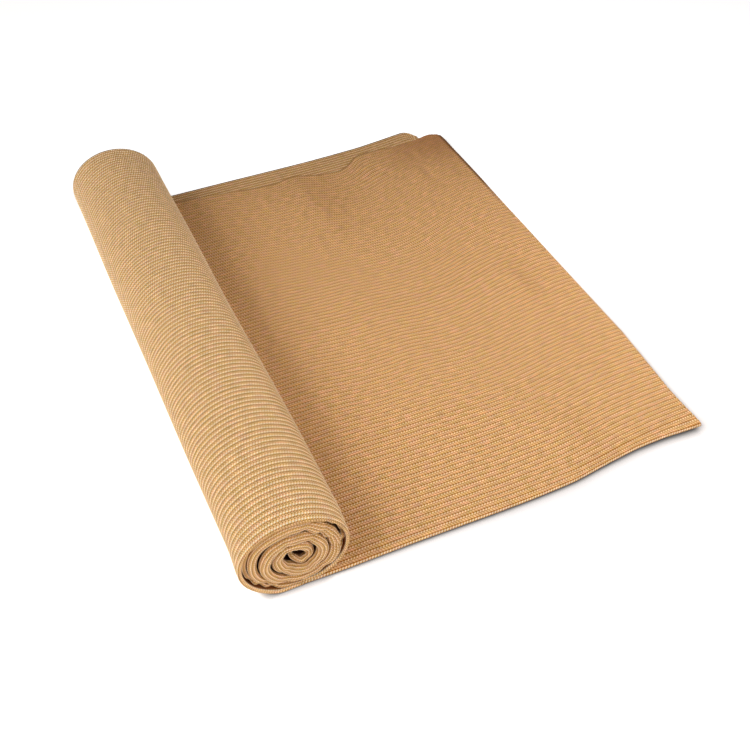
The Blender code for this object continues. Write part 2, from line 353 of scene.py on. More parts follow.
# The open gap between a turn and the next one inside it, at the near end.
GAPS = (
    (1.00, 0.0010),
    (1.15, 0.0024),
    (1.30, 0.0010),
    (1.60, 0.0014),
    (1.68, 0.0026),
    (1.80, 0.0012),
    (2.08, 0.0026),
    (2.16, 0.0022),
    (2.24, 0.0036),
    (2.33, 0.0034),
    (2.45, 0.0014),
    (2.70, 0.0012),
    (2.78, 0.0028),
    (2.88, 0.0014),
    (2.97, 0.0028),
    (3.08, 0.0024),
    (3.20, 0.0046),
    (3.30, 0.0046),
    (3.42, 0.0016),
    (3.60, 0.0020),
    (3.75, 0.0040),
    (3.90, 0.0020),
    (4.08, 0.0026),
    (4.16, 0.0064),
    (4.26, 0.0110),
    (4.44, 0.0130),
    (4.56, 0.0120),
    (4.63, 0.0060),
    (4.70, 0.0016),
    (7.00, 0.0014),
)
GAP_ROUNDING = 0.02

# Pleats pinched into the folds at the near end: turn, reach in turns, and depth.
PLEATS = (
    (1.585, 0.020, 0.0014),
    (1.640, 0.014, 0.0028),
    (1.690, 0.014, 0.0044),
    (1.735, 0.013, 0.0050),
    (1.790, 0.016, 0.0044),
    (1.095, 0.014, 0.0046),
    (1.140, 0.013, 0.0052),
    (1.190, 0.013, 0.0044),
    (1.340, 0.020, 0.0020),
    (1.930, 0.018, 0.0026),
    (2.060, 0.022, 0.0036),
    (2.130, 0.018, 0.0030),
    (2.580, 0.022, 0.0036),
    (2.655, 0.016, 0.0050),
    (2.715, 0.015, 0.0048),
    (2.775, 0.015, 0.0040),
    (2.900, 0.022, 0.0026),
    (3.050, 0.026, 0.0030),
    (3.480, 0.028, 0.0024),
    (3.640, 0.022, 0.0028),
    (3.900, 0.030, 0.0026),
    (4.100, 0.034, 0.0030),
    (4.760, 0.040, 0.0030),
)
PLEAT_REACH = 0.022

# The outer turn's ribs lean a little: how far they are moved towards the far end, at most, by the place
# along the roll, and the share of it by turn.
LEAN_REACH = (
    (0.000, 0.0000),
    (0.050, 0.0022),
    (0.120, 0.0046),
    (0.250, 0.0068),
    (0.500, 0.0086),
    (0.620, 0.0115),
    (0.720, 0.0132),
    (0.840, 0.0128),
    (0.930, 0.0090),
    (1.000, 0.0000),
)
LEAN_SHARE = (
    (0.00, 0.0),
    (0.12, -0.3),
    (0.25, -0.9),
    (0.32, -1.0),
    (0.50, 0.0),
    (0.68, 0.9),
    (0.80, 0.8),
    (1.00, 0.0),
)
LEAN_REACH_ROUNDING = 0.03
LEAN_SHARE_ROUNDING = 0.04

# The roll's uneven skin: height, waves round the roll and along it, and where they start.
DENTS = ((0.0008, 3, 0.7, 0.4), (0.0006, 2, 2.1, 1.9), (0.0005, 5, 1.3, 3.0))
DENT_END_REACH = 0.06
DENT_FOOT_REACH = 0.15


def foot_x(y: np.ndarray) -> np.ndarray:
    """Where the outer turn ends under the roll and the laid net begins."""
    return FOOT_X + FOOT_SLOPE * y


def winding(turn: np.ndarray, y: np.ndarray) -> np.ndarray:
    """Works out the winding's outer side.

    Args:
        turn: the turns at which it is wanted.
        y: the places along the roll.

    Returns:
        The (x, z) of each point.
    """
    size = read(SPIRAL, turn, 1, SPIRAL_ROUNDING)
    shift, lift = (read(SPIRAL, turn, place, SPIRAL_ROUNDING) for place in (2, 3))
    half_width, half_height, lean = (read(SECTIONS, y, place) for place in (1, 2, 3))
    angle = 2 * math.pi * turn
    x = foot_x(y) + shift + lean * (1 - np.cos(angle)) - size * half_width * np.sin(angle)
    z = SAG_CENTRE + lift - size * half_height * np.cos(angle)
    # The outer turn lies on the floor, and the next one on the laid net. The others lie on no floor.
    above_net = (turn > 0.75) & (turn < 1.25)
    floor = np.where(turn < 0.25, 0.0, np.where(above_net, UNDERSIDE, -1.0))
    return np.stack([x, np.maximum(z, floor)], axis=-1)


def dent(turn: np.ndarray, y: np.ndarray) -> np.ndarray:
    """Works out how uneven the roll's skin is.

    Args:
        turn: each point's turn.
        y: its place along the roll.

    Returns:
        How far the skin stands out, with none at the roll's ends or where it lies on the floor.
    """
    fade = eased(np.minimum(y, ROLL_LENGTH - y) / DENT_END_REACH)
    fade = fade * eased(np.minimum(turn, 1 - turn) / DENT_FOOT_REACH)
    waves = (h * np.sin(2 * math.pi * (n * turn + m * y) + s) for h, n, m, s in DENTS)
    return fade * sum(waves)


def ripple(waves: Table, turn: np.ndarray) -> np.ndarray:
    """Adds up waves, each a height, the radians in a turn and a start."""
    return sum(height * np.sin(rate * turn + start) for height, rate, start in waves)


def pleated(turn: np.ndarray) -> np.ndarray:
    """How deep the pleats are at each turn."""
    return sum(depth * np.exp(-(((turn - at) / width) ** 2)) for at, width, depth in PLEATS)


@dataclass
class RollFold:
    """The cloth's fold at the roll's near end, by turn."""

    # Half the folded cloth's thickness, how deep the fold's round is, and where its tip is along the roll.
    half: np.ndarray
    deep: np.ndarray
    tip: np.ndarray

    @property
    def start(self) -> np.ndarray:
        """Where the two layers part from the fold's round."""
        return self.tip + self.deep

    @property
    def quarter(self) -> np.ndarray:
        """How much cloth there is from the fold's tip round to one layer."""
        return math.pi / 2 * np.sqrt((self.half**2 + self.deep**2) / 2)


@dataclass(kw_only=True)
class RollTurns(Cloth):
    """Some turns of the roll, from the fold's tip at the near end to the selvedges at the far end."""

    slot: Slot = Slot.CHAIN_SIDE
    node: str = "roll"
    start: float
    stop: float
    # How far apart the columns stand along the cloth.
    step: float
    rows: list[float]
    # How many times closer the chain lines are drawn on the folds' tips than elsewhere, and for about how
    # many ribs.
    tip_lines: float = 1.0
    tip_ribs: float = 2.5
    relief: float = 0.0009
    dome: float = 0.0003
    # The fold's tip is flatter than a half round. It gets its waves and pleats within this share of a turn.
    flattening: float = 0.62
    uneven_turns: float = 0.1
    # How far from the tip the folded cloth has settled to its laid height.
    taper_reach: float = 0.060
    # How far before the far end the two selvedges of a turn begin to part, the share of the way to the next
    # turn that the upper one then goes, and at most how far, and where the lower one stays.
    far_reach: float = 0.070
    far_share: float = 0.58
    far_most: float = 0.0115
    far_least: float = 0.0004
    # How much a pleat presses the fold together by its depth, and at most.
    pinch: float = 60.0
    pinch_most: float = 0.5
    # How much further out the lower selvedge stands at the roll's foot, and for which share of a turn, how
    # much further out the upper one stands throughout, and the lower one's share of the upper one's waves.
    foot_extra: float = 0.0145
    foot_turns: float = 0.22
    upper_extra: float = 0.004
    lower_wave: float = 0.5
    # The painted shade between the folds is left off within this distance of the far end.
    far_light: float = 0.012
    # The relief fades this many turns from the roll's foot, and from where the roll lies on the laid net.
    foot_fade: float = 0.10
    under_fade: float = 0.09

    def turns(self) -> np.ndarray:
        """Places the columns.

        Returns:
            Their turns, from the innermost out, at even steps along the cloth.
        """
        fine = np.linspace(self.start, self.stop, FINE_STEPS)
        run = run_along(winding(fine, np.zeros_like(fine)))
        count = max(2, round(run[-1] / self.step))
        return np.interp(np.linspace(run[-1], 0.0, count + 1), run, fine)

    def fold(self, turn: np.ndarray) -> RollFold:
        """Works out the fold at the near end.

        Args:
            turn: the columns' turns.

        Returns:
            The fold at each of them.
        """
        near = np.zeros_like(turn)
        pitch = np.linalg.norm(winding(turn + 1, near) - winding(turn, near), axis=-1)
        loose = pitch - read(GAPS, turn, 1, GAP_ROUNDING)
        half = np.maximum(np.where(turn < 1, LAID_HEIGHT, loose), LAID_HEIGHT) / 2
        uneven = ripple(TIP_WAVES, turn) + pleated(turn)
        tip = uneven * eased((turn - 1.0) / self.uneven_turns) - read(RIMS, turn, 1, RIM_ROUNDING)
        return RollFold(half, self.flattening * half, tip)

    def far_edge(self, turn: np.ndarray, ribs: np.ndarray) -> np.ndarray:
        """Works out where the selvedges are.

        Args:
            turn: the columns' turns.
            ribs: the rows' places across the cloth.

        Returns:
            How far along the roll each layer reaches, by rows and columns.
        """
        wave = ripple(FAR_WAVES, turn)
        lower = ROLL_LENGTH + read(RIMS, turn, 2, FAR_RIM_ROUNDING)
        lower = lower + self.foot_extra * (1 - eased(turn / self.foot_turns))
        upper = UPPER_RIBS * RIB_PITCH + self.upper_extra + wave
        return np.where(ribs >= 0, upper, lower + self.lower_wave * wave * eased(2 * turn - 1))

    def course(self, turn: np.ndarray, ribs: np.ndarray, fold: RollFold) -> tuple[np.ndarray, np.ndarray]:
        """Works out where the cloth runs along the roll.

        Args:
            turn: the columns' turns.
            ribs: the rows' places across the cloth.
            fold: the fold at each turn.

        Returns:
            The points' places along the roll, and their angles round the fold.
        """
        reach = np.abs(ribs) * RIB_PITCH
        whole = np.where(ribs >= 0, UPPER_RIBS, LOWER_RIBS) * RIB_PITCH
        angle = np.minimum(reach / fold.quarter, 1.0) * math.pi / 2
        past = np.clip((reach - fold.quarter) / (whole - fold.quarter), 0.0, 1.0)
        y = fold.tip + fold.deep * (1 - np.cos(angle)) + (self.far_edge(turn, ribs) - fold.start) * past
        lean = read(LEAN_REACH, y, 1, LEAN_REACH_ROUNDING) * read(LEAN_SHARE, turn, 1, LEAN_SHARE_ROUNDING)
        return y + lean * (turn <= 1) * (ribs < 0), angle

    def sunk(
        self, turn: np.ndarray, ribs: np.ndarray, fold: RollFold, y: np.ndarray, angle: np.ndarray
    ) -> np.ndarray:
        """Works out how deep the cloth lies under the winding's outer side, but for the parted far end.

        Args:
            turn: the columns' turns.
            ribs: the rows' places across the cloth.
            fold: the fold at each turn.
            y: the points' places along the roll.
            angle: their angles round the fold.

        Returns:
            The depths.
        """
        settled = eased((y - fold.start) / self.taper_reach)
        spread = fold.half + (LAID_HEIGHT / 2 - fold.half) * settled
        pinched = self.pinch * pleated(turn) * (1 - eased((y - fold.tip) / PLEAT_REACH)) * (turn > 1)
        pressed = 1 - np.minimum(pinched, self.pinch_most)
        return fold.half + side_of(ribs) * spread * np.sin(angle) * pressed

    def parted(
        self, turn: np.ndarray, ribs: np.ndarray, y: np.ndarray, depth: np.ndarray, pitch: np.ndarray
    ) -> np.ndarray:
        """Parts the two selvedges of each turn at the far end.

        Args:
            turn: the columns' turns.
            ribs: the rows' places across the cloth.
            y: the points' places along the roll.
            depth: how deep they lie under the winding's outer side.
            pitch: how far it is from there to the next turn.

        Returns:
            The new depths.
        """
        at_end = eased((y - (ROLL_LENGTH - self.far_reach)) / self.far_reach)
        upper = np.minimum(self.far_share * pitch, self.far_most)
        apart = np.where(ribs >= 0, upper, self.far_least)
        return depth + (apart - depth) * at_end * (turn >= 1)

    def face(self) -> Face:
        """Works out the outer face.

        Returns:
            The face.
        """
        turn = self.turns()[None, :]
        ribs = np.array(self.rows)[:, None]
        fold = self.fold(turn)
        y, angle = self.course(turn, ribs, fold)
        outer, inner = winding(turn, y), winding(turn + 1, y)
        pitch = np.linalg.norm(inner - outer, axis=-1)
        depth = self.parted(turn, ribs, y, self.sunk(turn, ribs, fold, y, angle), pitch)
        line = outer + (inner - outer) / pitch[..., None] * depth[..., None]
        points = np.stack([line[..., 0], np.broadcast_to(y, pitch.shape), line[..., 1]], axis=-1)
        inside = np.minimum(y - fold.start, ROLL_LENGTH - self.far_light - y)
        inside = np.where((turn > 1) | (ribs > 0), np.maximum(inside, 0.0), 0.0)
        drawn = self.drawn_ribs(ribs)
        return Face(self.raised(points, turn, drawn), inside, self.along(turn[0]), drawn[:, 0])

    def drawn_ribs(self, ribs: np.ndarray) -> np.ndarray:
        """Draws the chain lines closer together on the fold's tip.

        Args:
            ribs: the rows' places across the cloth.

        Returns:
            Their places as they are drawn.
        """
        reach = np.abs(ribs)
        extra = (self.tip_lines - 1) * self.tip_ribs * (1 - np.exp(-reach / self.tip_ribs))
        return np.sign(ribs) * (reach + extra)

    def along(self, turn: np.ndarray) -> np.ndarray:
        """Works out how far along the cloth each column is.

        Args:
            turn: the columns' turns.

        Returns:
            Their distances from the roll's foot, which are negative inside it.
        """
        fine = np.linspace(0.0, self.stop, FINE_STEPS)
        run = run_along(winding(fine, np.full_like(fine, MIDDLE_Y)))
        return -np.interp(turn, fine, run)

    def raised(self, points: np.ndarray, turn: np.ndarray, ribs: np.ndarray) -> np.ndarray:
        """Raises the chain lines' ridges and the skin's dents, but not where the cloth lies on something.

        Args:
            points: the smooth face.
            turn: the columns' turns.
            ribs: the rows' places across the cloth.

        Returns:
            The face with its relief.
        """
        free = eased(turn / self.foot_fade) * eased(np.abs(turn - 1.0) / self.under_fade)
        lift = (self.relief * chain_profile(ribs) + self.dome * band_profile(ribs)) * free
        shallow = np.where(ribs < 0, dent(turn, points[..., 1]) * (turn < 1), 0.0)
        points = points + outward(points) * (lift + shallow)[..., None]
        points[..., 2] = np.maximum(points[..., 2], 0.0)
        return points


# The laid net's long edges by distance from the roll: the fold, the two selvedges, the fold's bulge over
# two flat layers, and its height off the floor.
EDGES = (
    (-0.050, 0.0020, 0.9810, 1.0140, 0.0000, 0.0000),
    (0.060, -0.0010, 0.9810, 1.0140, 0.0004, 0.0000),
    (0.100, -0.0010, 0.9795, 1.0140, 0.0014, 0.0000),
    (0.135, -0.0010, 0.9770, 1.0142, 0.0020, 0.0000),
    (0.165, -0.0010, 0.9710, 1.0145, 0.0026, 0.0000),
    (0.220, -0.0018, 0.9610, 1.0143, 0.0028, 0.0000),
    (0.275, -0.0026, 0.9555, 1.0141, 0.0030, 0.0000),
    (0.300, -0.0030, 0.9625, 1.0140, 0.0030, 0.0000),
    (0.325, -0.0030, 0.9680, 1.0140, 0.0030, 0.0000),
    (0.345, -0.0030, 0.9600, 1.0140, 0.0030, 0.0000),
    (0.380, -0.0026, 0.9480, 1.0145, 0.0029, 0.0000),
    (0.420, -0.0014, 0.9440, 1.0158, 0.0027, 0.0002),
    (0.445, -0.0001, 0.9550, 1.0170, 0.0026, 0.0004),
    (0.475, 0.0045, 0.9830, 1.0185, 0.0024, 0.0008),
    (0.500, 0.0080, 0.9870, 1.0200, 0.0022, 0.0010),
    (0.560, 0.0145, 0.9810, 1.0280, 0.0020, 0.0024),
    (0.600, 0.0150, 0.9800, 1.0340, 0.0020, 0.0031),
    (0.612, 0.0150, 0.9815, 1.0355, 0.0020, 0.0033),
    (0.620, 0.0145, 0.9830, 1.0335, 0.0020, 0.0036),
    (0.628, 0.0138, 0.9845, 1.0260, 0.0019, 0.0040),
    (0.637, 0.0130, 0.9865, 1.0060, 0.0018, 0.0044),
    (0.650, 0.0120, 0.9905, 1.0060, 0.0017, 0.0047),
    (0.660, 0.0115, 0.9915, 1.0060, 0.0016, 0.0049),
    (0.668, 0.0112, 0.9900, 1.0060, 0.0016, 0.0050),
    (0.674, 0.0110, 0.9878, 1.0060, 0.0015, 0.0051),
    (0.679, 0.0108, 0.9845, 1.0060, 0.0014, 0.0052),
    (0.683, 0.0107, 0.9800, 1.0060, 0.0013, 0.0053),
    (0.6865, 0.0106, 0.9740, 1.0060, 0.0013, 0.0053),
    (0.690, 0.0105, 0.9640, 1.0060, 0.0012, 0.0054),
)
# How far the table's corners are rounded for each edge, and for the last rib's reach.
FOLD_ROUNDING = 0.012
UPPER_FAR_ROUNDING = 0.003
LOWER_FAR_ROUNDING = 0.002
LAST_RIB_ROUNDING = 0.004

# The cut end across the net: how far the upper layer reaches, and the lower one.
CUT_END = (
    (0.000, 0.6760, 0.6750),
    (0.100, 0.6804, 0.6745),
    (0.250, 0.6900, 0.6720),
    (0.600, 0.6915, 0.6570),
    (0.900, 0.6900, 0.6440),
    (0.950, 0.6890, 0.6415),
    (0.965, 0.6880, 0.6408),
    (0.980, 0.6870, 0.6400),
    (1.040, 0.6860, 0.6370),
)

# The upper layer's ribs drift to and fro along the net. The drift is the sum of two products: a share by
# where the rib leaves the roll, and a reach by the distance from the roll. These two tables weren't chosen
# by hand: a program worked them out from the ribs' places in the photograph.
DRIFT_PLACE = 0.020
DRIFT_RIB = 2.5
DRIFT_PITCH = 0.0086
DRIFT_SHARES = (
    (0.020, 0.26, -0.69),
    (0.100, 0.30, -0.51),
    (0.160, 0.30, -0.69),
    (0.240, 0.36, -0.36),
    (0.320, 0.38, 0.35),
    (0.400, 0.51, 0.51),
    (0.480, 0.57, -0.24),
    (0.560, 0.67, -0.91),
    (0.640, 0.77, -1.00),
    (0.720, 0.88, -0.60),
    (0.800, 0.93, 0.33),
    (0.860, 1.00, 0.74),
    (0.930, 0.96, 0.71),
)
DRIFT_REACHES = (
    (0.060, 0.0000, 0.0000),
    (0.130, 0.0021, -0.0007),
    (0.170, -0.0030, -0.0022),
    (0.210, -0.0145, -0.0048),
    (0.260, -0.0213, -0.0060),
    (0.300, -0.0190, -0.0042),
    (0.340, -0.0216, -0.0021),
    (0.380, -0.0316, -0.0068),
    (0.420, -0.0321, -0.0078),
    (0.460, -0.0251, -0.0061),
    (0.500, -0.0083, -0.0068),
    (0.550, 0.0131, -0.0089),
    (0.600, 0.0288, -0.0094),
    (0.650, 0.0426, -0.0075),
    (0.690, 0.0465, -0.0064),
)
DRIFT_SHARE_ROUNDING = 0.030
DRIFT_REACH_ROUNDING = 0.016
# The last ribs at the far edge are drawn out to reach it.
STRETCHED_RIBS = 12

# Soft swells of the upper layer: x, y, heading, reach along the heading, reach to its left and to its
# right, and height. A short reach to the right makes a step down on that side.
SWELLS = (
    (0.322, 0.870, 90, 0.130, 0.100, 0.020, 0.0056),
    (0.470, 0.090, 88, 0.075, 0.090, 0.036, 0.0034),
    (0.596, 0.460, 94, 0.080, 0.050, 0.014, 0.0036),
    (0.580, 0.840, 92, 0.060, 0.045, 0.014, 0.0034),
    (0.645, 0.840, 90, 0.130, 0.070, 0.045, 0.0030),
    (0.500, 0.930, 60, 0.080, 0.045, 0.045, 0.0026),
    (0.240, 0.905, 90, 0.060, 0.045, 0.035, 0.0020),
    (0.250, 0.560, 100, 0.180, 0.070, 0.070, 0.0016),
    (0.300, 0.215, 5, 0.300, 0.012, 0.012, 0.0007),
)
# Painted shade on the upper layer, as x, y, heading, the three reaches of a swell, and how much: beside the
# swells' steps, in narrow creases, towards its far edge and corner, and at the roll's foot.
PAINTED_SHADES = (
    (0.333, 0.860, 90, 0.105, 0.007, 0.080, 0.16),
    (0.585, 0.830, 92, 0.060, 0.012, 0.012, 0.12),
    (0.600, 0.450, 94, 0.058, 0.010, 0.014, 0.19),
    (0.602, 0.300, 90, 0.110, 0.008, 0.008, 0.07),
    (0.505, 0.080, 88, 0.075, 0.034, 0.030, 0.09),
    (0.655, 0.860, 90, 0.120, 0.034, 0.040, 0.13),
    (0.560, 0.930, 60, 0.060, 0.040, 0.040, 0.09),
    (0.280, 0.202, 1, 0.240, 0.005, 0.005, 0.07),
    (0.350, 0.490, 2, 0.260, 0.006, 0.005, 0.07),
    (0.380, 0.742, 1, 0.120, 0.006, 0.005, 0.07),
    (0.360, 1.000, 0, 0.600, 0.200, 0.200, 0.09),
    (0.082, 0.150, 92, 0.180, 0.030, 0.030, 0.24),
)
SWELL_START = 0.12
SWELL_MARGIN = 0.05
LIFT_REACH = 0.10
BULGE_REACH = 0.05
DROP_REACH = 0.035
# Past this distance from the roll the upper selvedge is turned under, and stands a little higher.
HEM_START = 0.50
HEM_FULL = 0.56
HEM_RAISE = 0.0042
HEM_REACH = 0.07
HEM_RADIUS = 0.0026
EDGE_RADIUS = 0.0005

# The cut end stands up near the far corner, and is rounded down at its very edge.
STAND_START = 0.62
STAND_FULL = 0.80
STAND_HEIGHT = 0.0040
STAND_REACH = 0.060
ROUND_RADIUS = 0.0036
# The end of the upper layer hangs a little less than down to the floor, off the lower layer's end.
DROP = 0.0024


def drift(x: np.ndarray, place: np.ndarray) -> np.ndarray:
    """How far a rib that leaves the roll at this place has drifted towards the far side."""
    shares = (read(DRIFT_SHARES, place, term, DRIFT_SHARE_ROUNDING) for term in (1, 2))
    reaches = (read(DRIFT_REACHES, x, term, DRIFT_REACH_ROUNDING) for term in (1, 2))
    return sum(share * reach for share, reach in zip(shares, reaches))


def swell(swells: Table, x: np.ndarray, y: np.ndarray) -> np.ndarray:
    """Adds up a table of swells.

    Args:
        swells: the table.
        x: the points' distance from the roll's foot.
        y: their places towards the far side.

    Returns:
        How far the upper layer stands off the lower one there, or how much painted shade it gets.
    """
    total = np.zeros(np.broadcast(x, y).shape)
    for swell_x, swell_y, degrees, length, left, right, height in swells:
        heading = math.radians(degrees)
        ahead = (x - swell_x) * math.cos(heading) + (y - swell_y) * math.sin(heading)
        across = (y - swell_y) * math.cos(heading) - (x - swell_x) * math.sin(heading)
        width = np.where(across > 0, left, right)
        total = total + height * np.exp(-((ahead / length) ** 2) - (across / width) ** 2)
    return total


@dataclass
class LongEdges:
    """The laid net's long edges, by column."""

    station: np.ndarray
    fold_y: np.ndarray
    bulge: np.ndarray
    lift: np.ndarray
    upper_far: np.ndarray
    lower_far: np.ndarray
    # How much of the upper selvedge is turned under: 0 none of it, and 1 all.
    hem: np.ndarray

    @property
    def radius(self) -> np.ndarray:
        """The fold's radius."""
        return (LAID_HEIGHT + self.bulge) / 2

    @property
    def fold_start(self) -> np.ndarray:
        """Where the two layers part from the fold's round."""
        return self.fold_y + self.radius

    @property
    def curl(self) -> np.ndarray:
        """The radius on which the far edge turns under."""
        return EDGE_RADIUS + (HEM_RADIUS - EDGE_RADIUS) * self.hem


@dataclass(kw_only=True)
class LaidNet(Cloth):
    """The loose end of the net, from the roll's foot to its cut end."""

    name: str = "laid_net"
    slot: Slot = Slot.FURROWED_TOP
    node: str = "laid_end"
    relief: float = 0.0005
    dome: float = 0.0004
    # The chain lines stand out on the strip of the lower layer that shows.
    strip_relief: float = 0.0006
    columns: int = 58
    # The columns stand closer together towards the cut end, where the far corner is round.
    crowding: float = 0.90
    # It starts this far from the outer turn's end.
    foot_gap: float = 0.0003
    # Where the two far edges are, roughly, for how far along the net their columns are.
    upper_far_y: float = 0.975
    lower_far_y: float = 1.010
    # The least share of their length that the first ribs past the fold take up.
    least_course: float = 0.2
    # The share of a swell that is left at the far edge.
    far_swell: float = 0.25
    # The columns' distances are measured along a row in the middle of the upper layer, at this share of the
    # way through the rows.
    measured_row: float = 0.6

    def stations(self) -> np.ndarray:
        """The columns' shares of the way from the roll's foot to the cut end."""
        even = np.linspace(0.0, 1.0, self.columns)
        return (1 + self.crowding) * even - self.crowding * even**2

    def rows(self) -> np.ndarray:
        """Places the rows across the net.

        Returns:
            Their ribs, from the lower layer's selvedge round the fold to the upper one's.
        """
        strip = rib_rows(-LOWER_RIBS, STRIP_END, PART_PHASES)
        hidden = [float(rib) for rib in range(STRIP_END, -4, 3)]
        shown = rib_rows(-4, UPPER_RIBS, SHOWN_PHASES)
        return np.array(strip + hidden + shown + [float(UPPER_RIBS)])

    def reach_at(self, station: np.ndarray, place: np.ndarray, layer: Layer) -> np.ndarray:
        """How far along the net each column of a layer is, at a place across it."""
        start = foot_x(place)
        return start + (CUT_END[-1][layer.value] - start) * station

    def upper_course(self, ribs: np.ndarray, station: np.ndarray, start: np.ndarray) -> np.ndarray:
        """Works out where each of the upper layer's ribs would lie across the net, were none turned under.

        Args:
            ribs: the rows' places across the cloth.
            station: the columns' shares of the way to the cut end.
            start: where each rib would leave the fold, by rows and columns.

        Returns:
            The rows' places towards the far side.
        """
        place = DRIFT_PLACE + (ribs - DRIFT_RIB) * DRIFT_PITCH
        free = place + drift(self.reach_at(station, place, Layer.UPPER), place)
        first = DRIFT_PLACE + drift(station * CUT_END[0][1], np.full_like(station, DRIFT_PLACE))
        beside = start + (first - start) * np.clip(ribs / DRIFT_RIB, 0.0, 1.0)
        free = np.where(ribs < DRIFT_RIB, beside, free)
        last_place = np.full_like(station, DRIFT_PLACE + (UPPER_RIBS - DRIFT_RIB) * DRIFT_PITCH)
        last_x = self.reach_at(station, last_place, Layer.UPPER)
        far = read(EDGES, last_x, 2, LAST_RIB_ROUNDING)
        short = np.maximum(far - last_place - drift(last_x, last_place), 0.0)
        return free + short * eased((ribs - (UPPER_RIBS - STRETCHED_RIBS)) / STRETCHED_RIBS)

    def edges(self, station: np.ndarray) -> LongEdges:
        """Works out the long edges.

        Args:
            station: the columns' shares of the way to the cut end.

        Returns:
            The edges at each column.
        """
        edge_x = station * CUT_END[0][1]
        fold_y, bulge, lift = (read(EDGES, edge_x, place, FOLD_ROUNDING) for place in (1, 4, 5))
        upper_x = self.reach_at(station, self.upper_far_y, Layer.UPPER)
        lower_x = self.reach_at(station, self.lower_far_y, Layer.LOWER)
        upper_far = read(EDGES, upper_x, 2, UPPER_FAR_ROUNDING)
        lower_far = read(EDGES, lower_x, 3, LOWER_FAR_ROUNDING)
        hem = eased((edge_x - HEM_START) / (HEM_FULL - HEM_START))
        return LongEdges(station, fold_y, bulge, lift, upper_far, lower_far, hem)

    def courses(self, ribs: np.ndarray, edges: LongEdges) -> tuple[np.ndarray, np.ndarray, np.ndarray]:
        """Works out where each row lies, and how far it is turned.

        Args:
            ribs: the rows' places across the cloth.
            edges: the long edges.

        Returns:
            The rows' places towards the far side, and their angles round the fold and round the far edge.
        """
        quarter = math.pi / 2 * edges.radius
        reach = np.abs(ribs) * RIB_PITCH
        angle = np.minimum(reach / quarter, 1.0) * math.pi / 2
        past = np.clip((reach - quarter) / (LOWER_RIBS * RIB_PITCH - quarter), 0.0, 1.0)
        lower_y = edges.fold_start + (edges.lower_far - edges.fold_start) * past
        upper_y = self.upper_course(ribs, edges.station, edges.fold_start - quarter)
        over = np.maximum(upper_y - (edges.upper_far - edges.curl), 0.0)
        bend = np.minimum(over / edges.curl, math.pi)
        under = np.maximum(over - math.pi * edges.curl, 0.0)
        turned = edges.upper_far - edges.curl * (1 - np.sin(bend)) - under
        least = edges.fold_start + self.least_course * (reach - quarter)
        upper_y = np.where(over > 0, turned, np.maximum(upper_y, least))
        y = np.where(ribs >= 0, upper_y, lower_y)
        y = np.where(angle < math.pi / 2, edges.fold_start - edges.radius * np.cos(angle), y)
        return y, angle, bend

    def upper_height(self, x: np.ndarray, y: np.ndarray, end_x: np.ndarray, edges: LongEdges) -> np.ndarray:
        """Works out how high the upper layer stands, but for the lift off the floor and the turned edge.

        Args:
            x: the points' distance from the roll's foot.
            y: their places towards the far side.
            end_x: where the cut end is, on each row.
            edges: the long edges.

        Returns:
            The heights of its face.
        """
        hemmed = edges.hem * (1 - eased((edges.upper_far - y) / HEM_REACH))
        bulged = edges.bulge * (1 - eased((y - edges.fold_start) / BULGE_REACH))
        swollen = swell(SWELLS, x, y) * eased((x - foot_x(y)) / SWELL_START)
        swollen = swollen * eased((y - edges.fold_start) / SWELL_MARGIN)
        kept = self.far_swell + (1 - self.far_swell) * eased((edges.upper_far - y) / HEM_REACH)
        dropped = DROP * eased((x - read(CUT_END, y, 2)) / DROP_REACH) * (1 - hemmed)
        to_end = np.maximum(end_x - x, 0.0)
        far = eased((y - STAND_START) / (STAND_FULL - STAND_START))
        standing = STAND_HEIGHT * far * (1 - eased(to_end / STAND_REACH)) * (1 - hemmed)
        short = np.maximum(ROUND_RADIUS - to_end, 0.0)
        rounded = far * (ROUND_RADIUS - np.sqrt(ROUND_RADIUS**2 - short**2))
        return LAID_HEIGHT + bulged + swollen * kept + HEM_RAISE * hemmed + standing - dropped - rounded

    def face(self) -> Face:
        """Works out the outer face.

        Returns:
            The face.
        """
        ribs = self.rows()[:, None]
        edges = self.edges(self.stations()[None, :])
        y, angle, bend = self.courses(ribs, edges)
        turned = side_of(ribs) * np.sin(angle)
        lower_end, upper_end = (read(CUT_END, y, layer.value) for layer in (Layer.LOWER, Layer.UPPER))
        end_x = lower_end + (upper_end - lower_end) * (0.5 + 0.5 * turned)
        start_x = foot_x(y) + self.foot_gap
        x = start_x + (end_x - start_x) * edges.station
        z_low = edges.lift * (1 - eased((y - edges.fold_y) / LIFT_REACH))
        z_top = z_low + self.upper_height(x, y, end_x, edges) - edges.curl * (1 - np.cos(bend))
        arc = z_low + edges.radius * (1 + turned)
        z = np.where(angle < math.pi / 2, arc, np.where(ribs >= 0, z_top, z_low))
        points = np.stack(np.broadcast_arrays(x, y, z), axis=-1)
        middle = points[round(len(points) * self.measured_row)]
        return Face(self.raised(points, ribs), np.zeros_like(x), run_along(middle), self.rows())

    def raised(self, points: np.ndarray, ribs: np.ndarray) -> np.ndarray:
        """Sinks the chain lines as furrows on top, and raises the same lines as ridges on the strip.

        Args:
            points: the smooth face.
            ribs: the rows' places across the cloth.

        Returns:
            The face with its relief.
        """
        chain, band = chain_profile(ribs), band_profile(ribs)
        lift = np.where(ribs >= 0, self.dome * band - self.relief * chain, 0.0)
        lift = np.where(ribs < STRIP_END, -self.strip_relief * chain, lift)
        points = points + outward(points) * lift[..., None]
        points[..., 2] = np.maximum(points[..., 2], 0.0)
        return points

